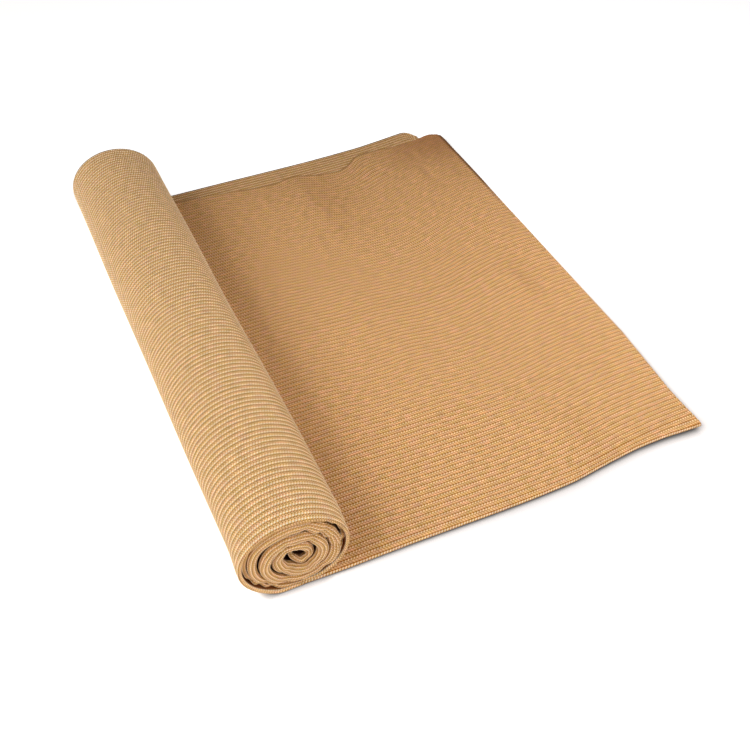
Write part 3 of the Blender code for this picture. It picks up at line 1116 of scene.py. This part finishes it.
    def mark(self, mesh: bpy.types.Mesh, face: Face) -> None:
        """Marks how much painted shade the upper layer gets, and where the cloth's other side shows.

        Args:
            mesh: the cloth's mesh.
            face: its outer face.
        """
        x, y = face.points[..., 0], face.points[..., 1]
        mark_points(mesh, PAINTED_SHADE_NAME, np.where(face.ribs[:, None] > 0, swell(PAINTED_SHADES, x, y), 0.0))
        corners = np.empty(4 * len(mesh.polygons), np.int32)
        mesh.polygons.foreach_get("vertices", corners)
        row = corners.reshape(-1, 4).min(axis=1) // self.columns
        mesh.polygons.foreach_set("material_index", (face.ribs[row] < STRIP_END).astype(np.int32))


def linear(colour: str, alpha: float = 1.0) -> tuple[float, float, float, float]:
    """Turns an sRGB colour to linear.

    Args:
        colour: the colour as six hex digits, such as "c8a070".
        alpha: its alpha.

    Returns:
        Its linear red, green and blue, and the alpha.
    """
    shares = [int(colour[i : i + 2], 16) / 255 for i in (0, 2, 4)]
    made = [s / 12.92 if s <= 0.04045 else ((s + 0.055) / 1.055) ** 2.4 for s in shares]
    return (*made, alpha)


def add_node(
    tree: bpy.types.NodeTree, kind: str, settings: dict, links: dict, out: int | str = 0
) -> Socket | None:
    """Adds a node to a tree.

    Args:
        tree: the material's or world's node tree.
        kind: the node's type.
        settings: the node's own settings, by name.
        links: for each input, by name or number, the socket that feeds it or its plain value.
        out: which of its outputs is wanted.

    Returns:
        That output, or None for a node that has none.
    """
    node = tree.nodes.new(kind)
    for name, value in settings.items():
        setattr(node, name, value)
    for place, value in links.items():
        if isinstance(value, Socket):
            tree.links.new(value, node.inputs[place])
        else:
            node.inputs[place].default_value = value
    return node.outputs[out] if node.outputs else None


@dataclass
class Knit:
    """The knit's pattern in one material: each value goes from 0 to 1, but for the places in metres."""

    cloth: Socket
    along: Socket
    across: Socket
    # On a chain line, on one of its stitches, and on the companion line beside it, which is painted light
    # and shade.
    chain: Socket
    bead: Socket
    beside: Socket
    # On a tape of the band, and in the dent between two.
    dash: Socket
    pit: Socket


@dataclass(frozen=True)
class KnitFinish:
    """Raschel-knitted polyethylene tape: matt ochre tapes zigzag between chain lines of paler thread."""

    name: str
    band: str
    light: str
    shade: str
    chain: str
    knot: str
    # The companion line's colour: painted shade where it is dark, and a painted highlight where it is pale.
    beside: str
    pink: str
    olive: str
    chain_width: float
    companion_painted_light_strength: float
    dash_strength: float
    companion: Companion
    pit_strength: float = 0.85
    # The colour of the painted shade at the far corner.
    corner_shade: str = "b98a60"
    # Painted shade at the far corner, which fades the chain lines too: along the cloth and across it, and
    # how far round there.
    corner_shade_place: Place = (0.76, 1.02, 0.0)
    corner_shade_reach: tuple[float, float] = (0.26, 0.10)
    corner_shade_strength: float = 0.0
    # Cloth this far inside the roll gets painted shade in the deep colour, for the shade of the folds round
    # it. It is browner and deeper than the white studio alone would make it.
    deep: str = "6a3410"
    painted_fold_shade_full: float = 0.0065
    painted_fold_shade_strength: float = 0.0
    # The warm brown that multiplies the colour where shade is painted on.
    crease: str = "ae9476"
    # A dark cord runs along each selvedge, and its darkness also stands for the shade under the upper
    # layer's edge, so it is partly painted shade.
    cord_and_shade: str = "6b4423"
    cord_and_shade_width: float = 0.0036
    cord_and_shade_strength: float = 0.60
    # Where the cut end is along the cloth, if this cloth has one, and the painted shade along it where the
    # edge turns down, and across which stretch that shade comes in.
    cut_end: float = 9.0
    cut_end_shade_width: float = 0.0110
    cut_end_shade_strength: float = 0.95
    cut_end_shade_across: tuple[float, float] = (0.60, 0.74)
    roughness: float = 0.66
    # Knitted tape scatters the light, and has next to no shine.
    shine: float = 0.12
    # Real stitches are about 2.5 mm long. They are drawn longer, so that they show at this size.
    stitch: float = 0.0043
    # How far a tape leans from one chain line to the middle of the band, and how far the stitches of one
    # line are off from those of the next, both in stitches.
    slant: float = 0.45
    offset: float = 0.37
    # The size along and across of the bleached patches, and of each tape's own streaks.
    patch_size: tuple[float, float] = (0.018, 0.009)
    streak_size: tuple[float, float] = (0.016, RIB_PITCH * 0.5)
    streak_range: tuple[float, float] = (0.84, 1.15)
    # At which values of their noise the patches are at their pinkest and at their most olive, how strong
    # they are there, and the noise's detail.
    pink_noise: float = 0.66
    olive_noise: float = 0.34
    patch_strength: float = 0.8
    patch_detail: float = 3.0
    # Between which values of its noise a streak goes from its least to its most, and the noise's detail.
    streak_noise: tuple[float, float] = (0.3, 0.7)
    streak_detail: float = 2.0
    # Within these shares of their widths a chain line and a cord are at full strength, and so is the
    # painted shade this near the cut end.
    chain_core: float = 0.35
    cord_and_shade_core: float = 0.4
    cut_end_shade_core: float = 0.003
    # The heights at which the waves of a line's stitches and of the tapes are cut off.
    bead_cut: float = 0.7
    dash_cut: float = 0.6
    # Where on the tapes' wave the dents begin and are deepest, and how far from a chain line, in ribs.
    pit_wave: tuple[float, float] = (0.1, -0.8)
    pit_place: tuple[float, float] = (0.24, 0.36)
    # How far past a chain line's edge its companion line of painted light and shade runs, and how far from
    # there it starts and is at full strength, in ribs.
    beside_gap: float = 0.08
    beside_reach: tuple[float, float] = (0.15, 0.04)
    bump: float = 0.0005
    bump_strength: float = 0.8

    def make(self) -> bpy.types.Material:
        """Builds the material from the cloth's own UV map, whose unit is the metre.

        Returns:
            The material.
        """
        material = bpy.data.materials.new(self.name)
        material.use_nodes = True
        material.node_tree.nodes.clear()
        add = partial(add_node, material.node_tree)
        knit = self.knit(add)
        colour = self.tapes(add, knit)
        colour = self.threads(add, knit, colour)
        colour = self.edges(add, knit, colour)
        colour = self.shades(add, colour)
        height = add(MATH, {"operation": "MULTIPLY_ADD"}, {0: knit.chain, 1: knit.bead, 2: knit.dash})
        height = add(MATH, {"operation": "SUBTRACT"}, {0: height, 1: knit.pit})
        bump = {"Height": height, "Distance": self.bump, "Strength": self.bump_strength}
        bump = add("ShaderNodeBump", {}, bump)
        surface = {"Base Color": colour, "Roughness": self.roughness, "Normal": bump}
        surface["Specular IOR Level"] = self.shine
        shader = add("ShaderNodeBsdfPrincipled", {}, surface)
        add("ShaderNodeOutputMaterial", {}, {"Surface": shader})
        LOG.info("finish %s", self.name)
        return material

    def knit(self, add: Adder) -> Knit:
        """Works out the pattern of chain lines and tapes.

        Args:
            add: adds a node to this material.

        Returns:
            The pattern.
        """
        cloth = add("ShaderNodeUVMap", {"uv_map": UV_NAME}, {})
        along, across = (add("ShaderNodeSeparateXYZ", {}, {0: cloth}, axis) for axis in (0, 1))
        rib = add(MATH, {"operation": "DIVIDE"}, {0: across, 1: RIB_PITCH})
        share = add(MATH, {"operation": "FRACT"}, {0: rib})
        phase = add(MATH, {"operation": "SUBTRACT"}, {0: share, 1: 0.5})
        aside = add(MATH, {"operation": "ABSOLUTE"}, {0: phase})
        number = add(MATH, {"operation": "FLOOR"}, {0: rib})
        core = self.chain_core * self.chain_width
        edge = {"Value": aside, "From Min": self.chain_width, "From Max": core}
        chain = add(RANGE, SMOOTH, edge)
        # Stitches along a chain line are set off from those of the next line by an odd share.
        stitch = add(MATH, {"operation": "DIVIDE"}, {0: along, 1: self.stitch})
        stitch = add(MATH, {"operation": "MULTIPLY_ADD"}, {0: number, 1: self.offset, 2: stitch})
        turn = add(MATH, {"operation": "MULTIPLY"}, {0: stitch, 1: 2 * math.pi})
        bead = add(MATH, {"operation": "SINE"}, {0: turn})
        bead = add(RANGE, {}, {"Value": bead, "From Min": -self.bead_cut, "From Max": self.bead_cut})
        # The tapes cross each band aslant, one way beside one chain line and the other way beside the next.
        slanted = add(MATH, {"operation": "MULTIPLY_ADD"}, {0: aside, 1: 2 * self.slant, 2: stitch})
        slanted = add(MATH, {"operation": "MULTIPLY"}, {0: slanted, 1: 2 * math.pi})
        tape = add(MATH, {"operation": "SINE"}, {0: slanted})
        dash = add(RANGE, {}, {"Value": tape, "From Min": -self.dash_cut, "From Max": self.dash_cut})
        middle = {"Value": aside, "From Min": self.pit_place[0], "From Max": self.pit_place[1]}
        middle = add(RANGE, SMOOTH, middle)
        pit = {"Value": tape, "From Min": self.pit_wave[0], "From Max": self.pit_wave[1]}
        pit = add(RANGE, {}, pit)
        pit = add(MATH, {"operation": "MULTIPLY"}, {0: pit, 1: middle})
        off = self.companion.value * (self.chain_width + self.beside_gap)
        beside = add(MATH, {"operation": "SUBTRACT"}, {0: phase, 1: off})
        beside = add(MATH, {"operation": "ABSOLUTE"}, {0: beside})
        beside = {"Value": beside, "From Min": self.beside_reach[0], "From Max": self.beside_reach[1]}
        beside = add(RANGE, SMOOTH, beside)
        return Knit(cloth, along, across, chain, bead, beside, dash, pit)

    def noise(self, add: Adder, cloth: Socket, size: tuple[float, float], detail: float) -> Socket:
        """Scatters soft random patches.

        Args:
            add: adds a node to this material.
            cloth: the place on the cloth.
            size: the patches' size along it and across it.
            detail: how much finer detail they have.

        Returns:
            The patches' strength.
        """
        scale = (1 / size[0], 1 / size[1], 1.0)
        place = add("ShaderNodeMapping", {}, {"Vector": cloth, "Scale": scale})
        return add("ShaderNodeTexNoise", {}, {"Vector": place, "Scale": 1.0, "Detail": detail})

    def tapes(self, add: Adder, knit: Knit) -> Socket:
        """Colours the bands of tape.

        Args:
            add: adds a node to this material.
            knit: the pattern.

        Returns:
            The bands' colour.
        """
        # Worn and sun-bleached patches, a centimetre or two across, lean to pink and to olive.
        patches = self.noise(add, knit.cloth, self.patch_size, self.patch_detail)
        colour = linear(self.band)
        for most, tint in ((self.pink_noise, self.pink), (self.olive_noise, self.olive)):
            patch = {"Value": patches, "From Min": 0.5, "From Max": most, "To Max": self.patch_strength}
            patch = add(RANGE, {}, patch)
            colour = add(MIX, MIXED, {0: patch, 6: colour, 7: linear(tint)}, 2)
        lit = add(MATH, {"operation": "MULTIPLY"}, {0: knit.dash, 1: self.dash_strength})
        dark = add(MATH, {"operation": "MULTIPLY"}, {0: knit.pit, 1: self.pit_strength})
        # The companion line of painted light and shade.
        companion_painted_light = add(MATH, {"operation": "MULTIPLY"}, {0: knit.beside, 1: self.companion_painted_light_strength})
        companion_painted_light = add(MATH, {"operation": "MULTIPLY"}, {0: companion_painted_light, 1: knit.dash})
        for share, tint in ((lit, self.light), (dark, self.shade), (companion_painted_light, self.beside)):
            colour = add(MIX, MIXED, {0: share, 6: colour, 7: linear(tint)}, 2)
        return colour

    def threads(self, add: Adder, knit: Knit, colour: Socket) -> Socket:
        """Lays the chain lines over the bands, and fades them under painted shade at the far corner.

        Args:
            add: adds a node to this material.
            knit: the pattern.
            colour: the bands' colour.

        Returns:
            The cloth's colour.
        """
        thread = add(MIX, MIXED, {0: knit.bead, 6: linear(self.knot), 7: linear(self.chain)}, 2)
        # Painted shade at the far corner.
        apart = {0: knit.cloth, 1: self.corner_shade_place}
        apart = add(VECTOR, {"operation": "DISTANCE"}, apart, "Value")
        near = {"Value": apart, "From Min": self.corner_shade_reach[0], "From Max": self.corner_shade_reach[1]}
        corner_shaded = add(RANGE, SMOOTH, near | {"To Max": self.corner_shade_strength})
        unshaded = add(MATH, {"operation": "SUBTRACT"}, {0: 1.0, 1: corner_shaded})
        drawn = add(MATH, {"operation": "MULTIPLY"}, {0: knit.chain, 1: unshaded})
        colour = add(MIX, MIXED, {0: drawn, 6: colour, 7: thread}, 2)
        colour = add(MIX, MIXED, {0: corner_shaded, 6: colour, 7: linear(self.corner_shade)}, 2)
        # Each tape's own shade: short streaks along the cloth, one or two to a band.
        streak = self.noise(add, knit.cloth, self.streak_size, self.streak_detail)
        streak = {"Value": streak, "To Min": self.streak_range[0], "To Max": self.streak_range[1]}
        streak |= {"From Min": self.streak_noise[0], "From Max": self.streak_noise[1]}
        streak = add(RANGE, {}, streak)
        return add(VECTOR, {"operation": "SCALE"}, {0: colour, 3: streak})

    def edges(self, add: Adder, knit: Knit, colour: Socket) -> Socket:
        """Darkens the selvedges' cords, partly as painted shade, and paints shade along the cut end.

        Args:
            add: adds a node to this material.
            knit: the pattern.
            colour: the cloth's colour.

        Returns:
            The colour with the edges.
        """
        middle = (UPPER_RIBS - LOWER_RIBS) / 2 * RIB_PITCH
        half = (UPPER_RIBS + LOWER_RIBS) / 2 * RIB_PITCH
        out = add(MATH, {"operation": "SUBTRACT"}, {0: knit.across, 1: middle})
        out = add(MATH, {"operation": "ABSOLUTE"}, {0: out})
        # The selvedges' cords, darkened partly as painted shade.
        core = self.cord_and_shade_core * self.cord_and_shade_width
        cord_and_shade_share = {"Value": out, "From Min": half - self.cord_and_shade_width, "From Max": half - core}
        cord_and_shade_share = add(RANGE, SMOOTH, cord_and_shade_share | {"To Max": self.cord_and_shade_strength})
        # Painted shade along the cut end, towards the far side, where the edge turns down.
        cut_end_shade = {"From Min": self.cut_end - self.cut_end_shade_width, "From Max": self.cut_end - self.cut_end_shade_core}
        cut_end_shade = add(RANGE, SMOOTH, cut_end_shade | {"Value": knit.along, "To Max": self.cut_end_shade_strength})
        far = {"Value": knit.across, "From Min": self.cut_end_shade_across[0], "From Max": self.cut_end_shade_across[1]}
        far = add(RANGE, SMOOTH, far)
        cut_end_shade = add(MATH, {"operation": "MULTIPLY"}, {0: cut_end_shade, 1: far})
        edge = add(MATH, {"operation": "MAXIMUM"}, {0: cord_and_shade_share, 1: cut_end_shade})
        return add(MIX, MIXED, {0: edge, 6: colour, 7: linear(self.cord_and_shade)}, 2)

    def shades(self, add: Adder, colour: Socket) -> Socket:
        """Paints shade: a warm brown where the cloth is marked for it, and a deep brown between the roll's
        folds.

        Args:
            add: adds a node to this material.
            colour: the colour with the edges.

        Returns:
            The colour with its shade.
        """
        # Painted shade, multiplied in where the mesh is marked for it.
        painted_shade_share = add(ATTRIBUTE, {"attribute_name": PAINTED_SHADE_NAME}, {}, "Fac")
        tinted = MIXED | {"blend_type": "MULTIPLY"}
        colour = add(MIX, tinted, {0: painted_shade_share, 6: colour, 7: linear(self.crease)}, 2)
        # Painted shade between the roll's folds, by how far each point is behind the roll's ends.
        inside = add(ATTRIBUTE, {"attribute_name": DEPTH_NAME}, {}, "Fac")
        sunk = {"Value": inside, "From Max": self.painted_fold_shade_full, "To Max": self.painted_fold_shade_strength}
        sunk = add(RANGE, SMOOTH, sunk)
        return add(MIX, MIXED, {0: sunk, 6: colour, 7: linear(self.deep)}, 2)


# The chain side gives the eye bright beaded lines of thread over ochre tapes, each with a dark companion
# line of painted shade.
OUTER_FACE = KnitFinish(
    name="knitted_polyethylene_chain_side",
    band="e8b470",
    light="ffdfae",
    shade="a46a24",
    chain="fff6dc",
    knot="e6b97e",
    beside="8c5414",
    pink="eeae8c",
    olive="d8ae4e",
    chain_width=0.18,
    companion_painted_light_strength=1.0,
    dash_strength=0.65,
    companion=Companion.AWAY_FROM_FOLD,
    deep="8a4210",
    painted_fold_shade_strength=0.92,
)
# The folds wound up inside are the same cloth, its colours darkened as painted shade for the shade on both
# sides away from their tips.
WOUND_SHADED_FACE = replace(
    OUTER_FACE,
    name="knitted_polyethylene_wound_up_painted_shade",
    band="cf9654",
    light="f0c88e",
    chain="fae6c6",
    knot="deb07c",
    deep="3a1604",
    painted_fold_shade_strength=0.98,
)
# Along the laid net's far edge the chain side shows in the shade of the layer over it, with its colours
# darkened as painted shade.
STRIP_FACE = replace(
    OUTER_FACE,
    name="knitted_polyethylene_chain_side_painted_shade",
    band="cc965c",
    light="ecc48c",
    shade="935c26",
    chain="fff0c8",
    knot="cc9a62",
    cord_and_shade="4a2a14",
    cord_and_shade_width=0.0044,
    cord_and_shade_strength=0.85,
)
# The laid net's top is the same face of the cloth as the roll's outside, in a shaded look: broad pale bands
# parted by furrows, whose dark chain and knot colours are painted shade.
INNER_FACE = KnitFinish(
    name="knitted_polyethylene_furrows_in_painted_shade",
    band="e0a868",
    light="fcdaa8",
    shade="a8682a",
    chain="d0904c",
    knot="9c6024",
    beside="fff0d0",
    pink="eaaa8a",
    olive="d6aa50",
    chain_width=0.16,
    companion_painted_light_strength=0.85,
    dash_strength=0.60,
    pit_strength=0.60,
    companion=Companion.TOWARDS_FOLD,
    stitch=0.0048,
    corner_shade="a87046",
    corner_shade_strength=0.70,
    cut_end=CUT_ALONG,
)


@dataclass(frozen=True)
class SoftLight:
    """A rectangular soft light: where it stands, where it looks, its size and its power."""

    name: str
    place: Place
    target: Place
    width: float
    height: float
    power: float
    colour: str

    def build(self) -> None:
        """Adds the light to the scene."""
        light = bpy.data.lights.new(self.name, "AREA")
        light.shape = "RECTANGLE"
        light.size, light.size_y = self.width, self.height
        light.energy = self.power
        light.color = linear(self.colour)[:3]
        lamp = bpy.data.objects.new(self.name, light)
        bpy.context.scene.collection.objects.link(lamp)
        lamp.location = self.place
        lamp.rotation_euler = (Vector(self.place) - Vector(self.target)).to_track_quat("Z", "Y").to_euler()


# The roll shades the laid net from the light on its left. The near light fills the near end, and the small
# one on the right, which is a little warm, the roll's shaded side.
LIGHTS = (
    SoftLight("side", (-1.70, -0.40, 1.65), (-0.25, 0.05, 0.05), 2.3, 1.1, 35.0, "fffbf6"),
    SoftLight("near", (0.74, -1.38, 1.76), (0.05, -0.05, 0.0), 1.3, 1.3, 28.2, "fbfcff"),
    SoftLight("right", (0.80, -0.15, 0.70), (0.30, -0.10, 0.0), 0.5, 0.5, 2.7, "fff0de"),
)


@dataclass
class Floor:
    """A plain white floor that is bright enough to lose its edge."""

    side: float = 60.0
    z: float = -0.0006
    # It glows more and more away from the net's near edge, so that it is white to the picture's edge.
    glow_near: float = 0.10
    glow_far: float = 0.70
    glow_centre: Place = (0.30, -0.55, 0.0)
    glow_reach: tuple[float, float] = (0.15, 0.80)
    # How far from the net its painted soft contact shadow reaches, and how steeply it darkens: the paper's
    # colour and glow are dimmed by their ambient occlusion. There is none past the net's far edge.
    shadow_reach: float = 0.016
    shadow_power: float = 1.6
    shadow_end: tuple[float, float] = (0.50, 0.52)
    roughness: float = 0.9
    paper: str = "f8f8fa"

    def build(self) -> None:
        """Adds the floor to the scene."""
        bm = bmesh.new()
        bmesh.ops.create_grid(bm, x_segments=1, y_segments=1, size=self.side / 2)
        bmesh.ops.translate(bm, verts=bm.verts, vec=(0.0, 0.0, self.z))
        mesh = bpy.data.meshes.new("floor")
        bm.to_mesh(mesh)
        bm.free()
        mesh.materials.append(self.finish())
        floor = bpy.data.objects.new("floor", mesh)
        bpy.context.scene.collection.objects.link(floor)

    def finish(self) -> bpy.types.Material:
        """Makes matt white paper, lit from behind further off, which gives the eye a floor without an edge.

        Returns:
            The material.
        """
        material = bpy.data.materials.new("matt_white_paper")
        material.use_nodes = True
        material.node_tree.nodes.clear()
        add = partial(add_node, material.node_tree)
        place = add("ShaderNodeTexCoord", {}, {}, "Object")
        away = add(VECTOR, {"operation": "DISTANCE"}, {0: place, 1: self.glow_centre}, "Value")
        glow = {"Value": away, "From Min": self.glow_reach[0], "From Max": self.glow_reach[1]}
        glow = add(RANGE, SMOOTH, glow | {"To Min": self.glow_near, "To Max": self.glow_far})
        # Painted contact shadow: the paper and its glow darken where the net is close.
        seen = add("ShaderNodeAmbientOcclusion", {"samples": 8}, {"Distance": self.shadow_reach}, "AO")
        seen = add(MATH, {"operation": "POWER"}, {0: seen, 1: self.shadow_power})
        far = add("ShaderNodeSeparateXYZ", {}, {0: place}, 1)
        behind = {"Value": far, "From Min": self.shadow_end[0], "From Max": self.shadow_end[1]}
        lit = add(MATH, {"operation": "MAXIMUM"}, {0: seen, 1: add(RANGE, {}, behind)})
        paint = add(MIX, MIXED, {0: lit, 6: linear("000000"), 7: linear(self.paper)}, 2)
        glow = add(MATH, {"operation": "MULTIPLY"}, {0: glow, 1: lit})
        surface = {"Base Color": paint, "Roughness": self.roughness, "Emission Color": linear("ffffff")}
        shader = add("ShaderNodeBsdfPrincipled", {}, surface | {"Emission Strength": glow})
        add("ShaderNodeOutputMaterial", {}, {"Surface": shader})
        return material


@dataclass
class Dome:
    """The light from all round: dim and warm overhead, and white behind the floor's edge."""

    strength: float = 0.04
    rim_strength: float = 0.55
    # The heights between which the rim turns into the dome.
    rim_heights: tuple[float, float] = (0.20, 0.04)
    overhead: str = "ffd2a6"
    rim: str = "ffffff"

    def build(self) -> None:
        """Lights the world with the dome."""
        world = bpy.data.worlds.new("studio")
        bpy.context.scene.world = world
        world.use_nodes = True
        world.node_tree.nodes.clear()
        add = partial(add_node, world.node_tree)
        facing = add("ShaderNodeTexCoord", {}, {}, "Generated")
        height = add("ShaderNodeSeparateXYZ", {}, {0: facing}, 2)
        low = {"Value": height, "From Min": self.rim_heights[0], "From Max": self.rim_heights[1]}
        low = add(RANGE, SMOOTH, low)
        colour = add(MIX, MIXED, {0: low, 6: linear(self.overhead), 7: linear(self.rim)}, 2)
        strength = add(RANGE, {}, {"Value": low, "To Min": self.strength, "To Max": self.rim_strength})
        back = add("ShaderNodeBackground", {}, {"Color": colour, "Strength": strength})
        add("ShaderNodeOutputWorld", {}, {"Surface": back})


@dataclass
class PictureCamera:
    """The camera at the photograph's place, a little above the near end of the roll."""

    # Where it stands, in the cloth's own frame, and how it is turned from level and straight ahead.
    place: Place = (-0.13933419, -0.66787655, 1.09415333)
    yaw: float = 0.37123526
    pitch: float = 0.79272083
    roll: float = -0.04055561
    focal_pixels: float = 899.0
    sensor_width: float = 36.0
    clip_start: float = 0.05

    def build(self) -> None:
        """Adds the camera to the scene."""
        level = math.cos(self.pitch)
        ahead = Vector((math.sin(self.yaw) * level, math.cos(self.yaw) * level, -math.sin(self.pitch)))
        right = ahead.cross(Vector((0, 0, 1))).normalized()
        up = right.cross(ahead)
        turned_right = math.cos(self.roll) * right + math.sin(self.roll) * up
        turned_up = math.cos(self.roll) * up - math.sin(self.roll) * right
        lens = bpy.data.cameras.new("camera")
        lens.sensor_width = self.sensor_width
        lens.lens = self.sensor_width * self.focal_pixels / IMAGE_SIDE
        lens.clip_start = self.clip_start
        camera = bpy.data.objects.new("camera", lens)
        bpy.context.scene.collection.objects.link(camera)
        turned = Matrix((turned_right, turned_up, -ahead)).transposed().to_4x4()
        camera.matrix_world = Matrix.Translation(Vector(self.place) + Vector(cloth_frame())) @ turned
        bpy.context.scene.camera = camera


def build_studio() -> None:
    """Builds the floor, the light and the camera."""
    Floor().build()
    Dome().build()
    for light in LIGHTS:
        light.build()
    PictureCamera().build()
    view = bpy.context.scene.view_settings
    view.view_transform = "Standard"
    view.look = "None"


def outer_turn_rows() -> list[float]:
    """The outer turn's rows: every rib of its outer layer, and few of the one inside it."""
    rows = rib_rows(-LOWER_RIBS, 3, SHOWN_PHASES) + rib_rows(3, UPPER_RIBS - 4, PLAIN_PHASES)
    return rows + rib_rows(UPPER_RIBS - 4, UPPER_RIBS, PART_PHASES) + [float(UPPER_RIBS)]


def inner_turn_rows() -> list[float]:
    """Places the inner turns' rows, which stand closer and closer together towards the folds' tips.

    Returns:
        Their ribs: every rib near the two ends, and few between them.
    """
    rows = rib_rows(-LOWER_RIBS, -LOWER_RIBS + 4, PART_PHASES)
    rows += [float(rib) for rib in range(-LOWER_RIBS + 4, -8, 6)]
    rows += [rib / 5 for rib in range(-40, -15)]
    rows += [rib / 10 for rib in range(-30, 30)]
    rows += [rib / 5 for rib in range(15, 40)]
    rows += [float(rib) for rib in range(8, UPPER_RIBS - 4, 6)]
    return rows + rib_rows(UPPER_RIBS - 4, UPPER_RIBS, PART_PHASES) + [float(UPPER_RIBS)]


def build_net() -> None:
    """Builds the one cloth as three lengths, each joined to the next."""
    outer_face, wound_shaded_face, inner_face = OUTER_FACE.make(), WOUND_SHADED_FACE.make(), INNER_FACE.make()
    laid = LaidNet().build([inner_face, STRIP_FACE.make()])
    outer = RollTurns(
        name="roll_outer_turn",
        start=0.0,
        stop=1.0,
        step=0.0093,
        rows=outer_turn_rows(),
    ).build([outer_face])
    inner = RollTurns(
        name="roll_inner_turns",
        start=1.0,
        stop=INNER_END,
        step=0.0051,
        rows=inner_turn_rows(),
        tip_lines=2.0,
    ).build([wound_shaded_face])


def main() -> None:
    """Builds the studio and the net."""
    logging.basicConfig(level=logging.INFO, format="%(message)s")
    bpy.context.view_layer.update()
    build_studio()
    build_net()
    bpy.context.view_layer.update()


if __name__ == "__main__":
    main()
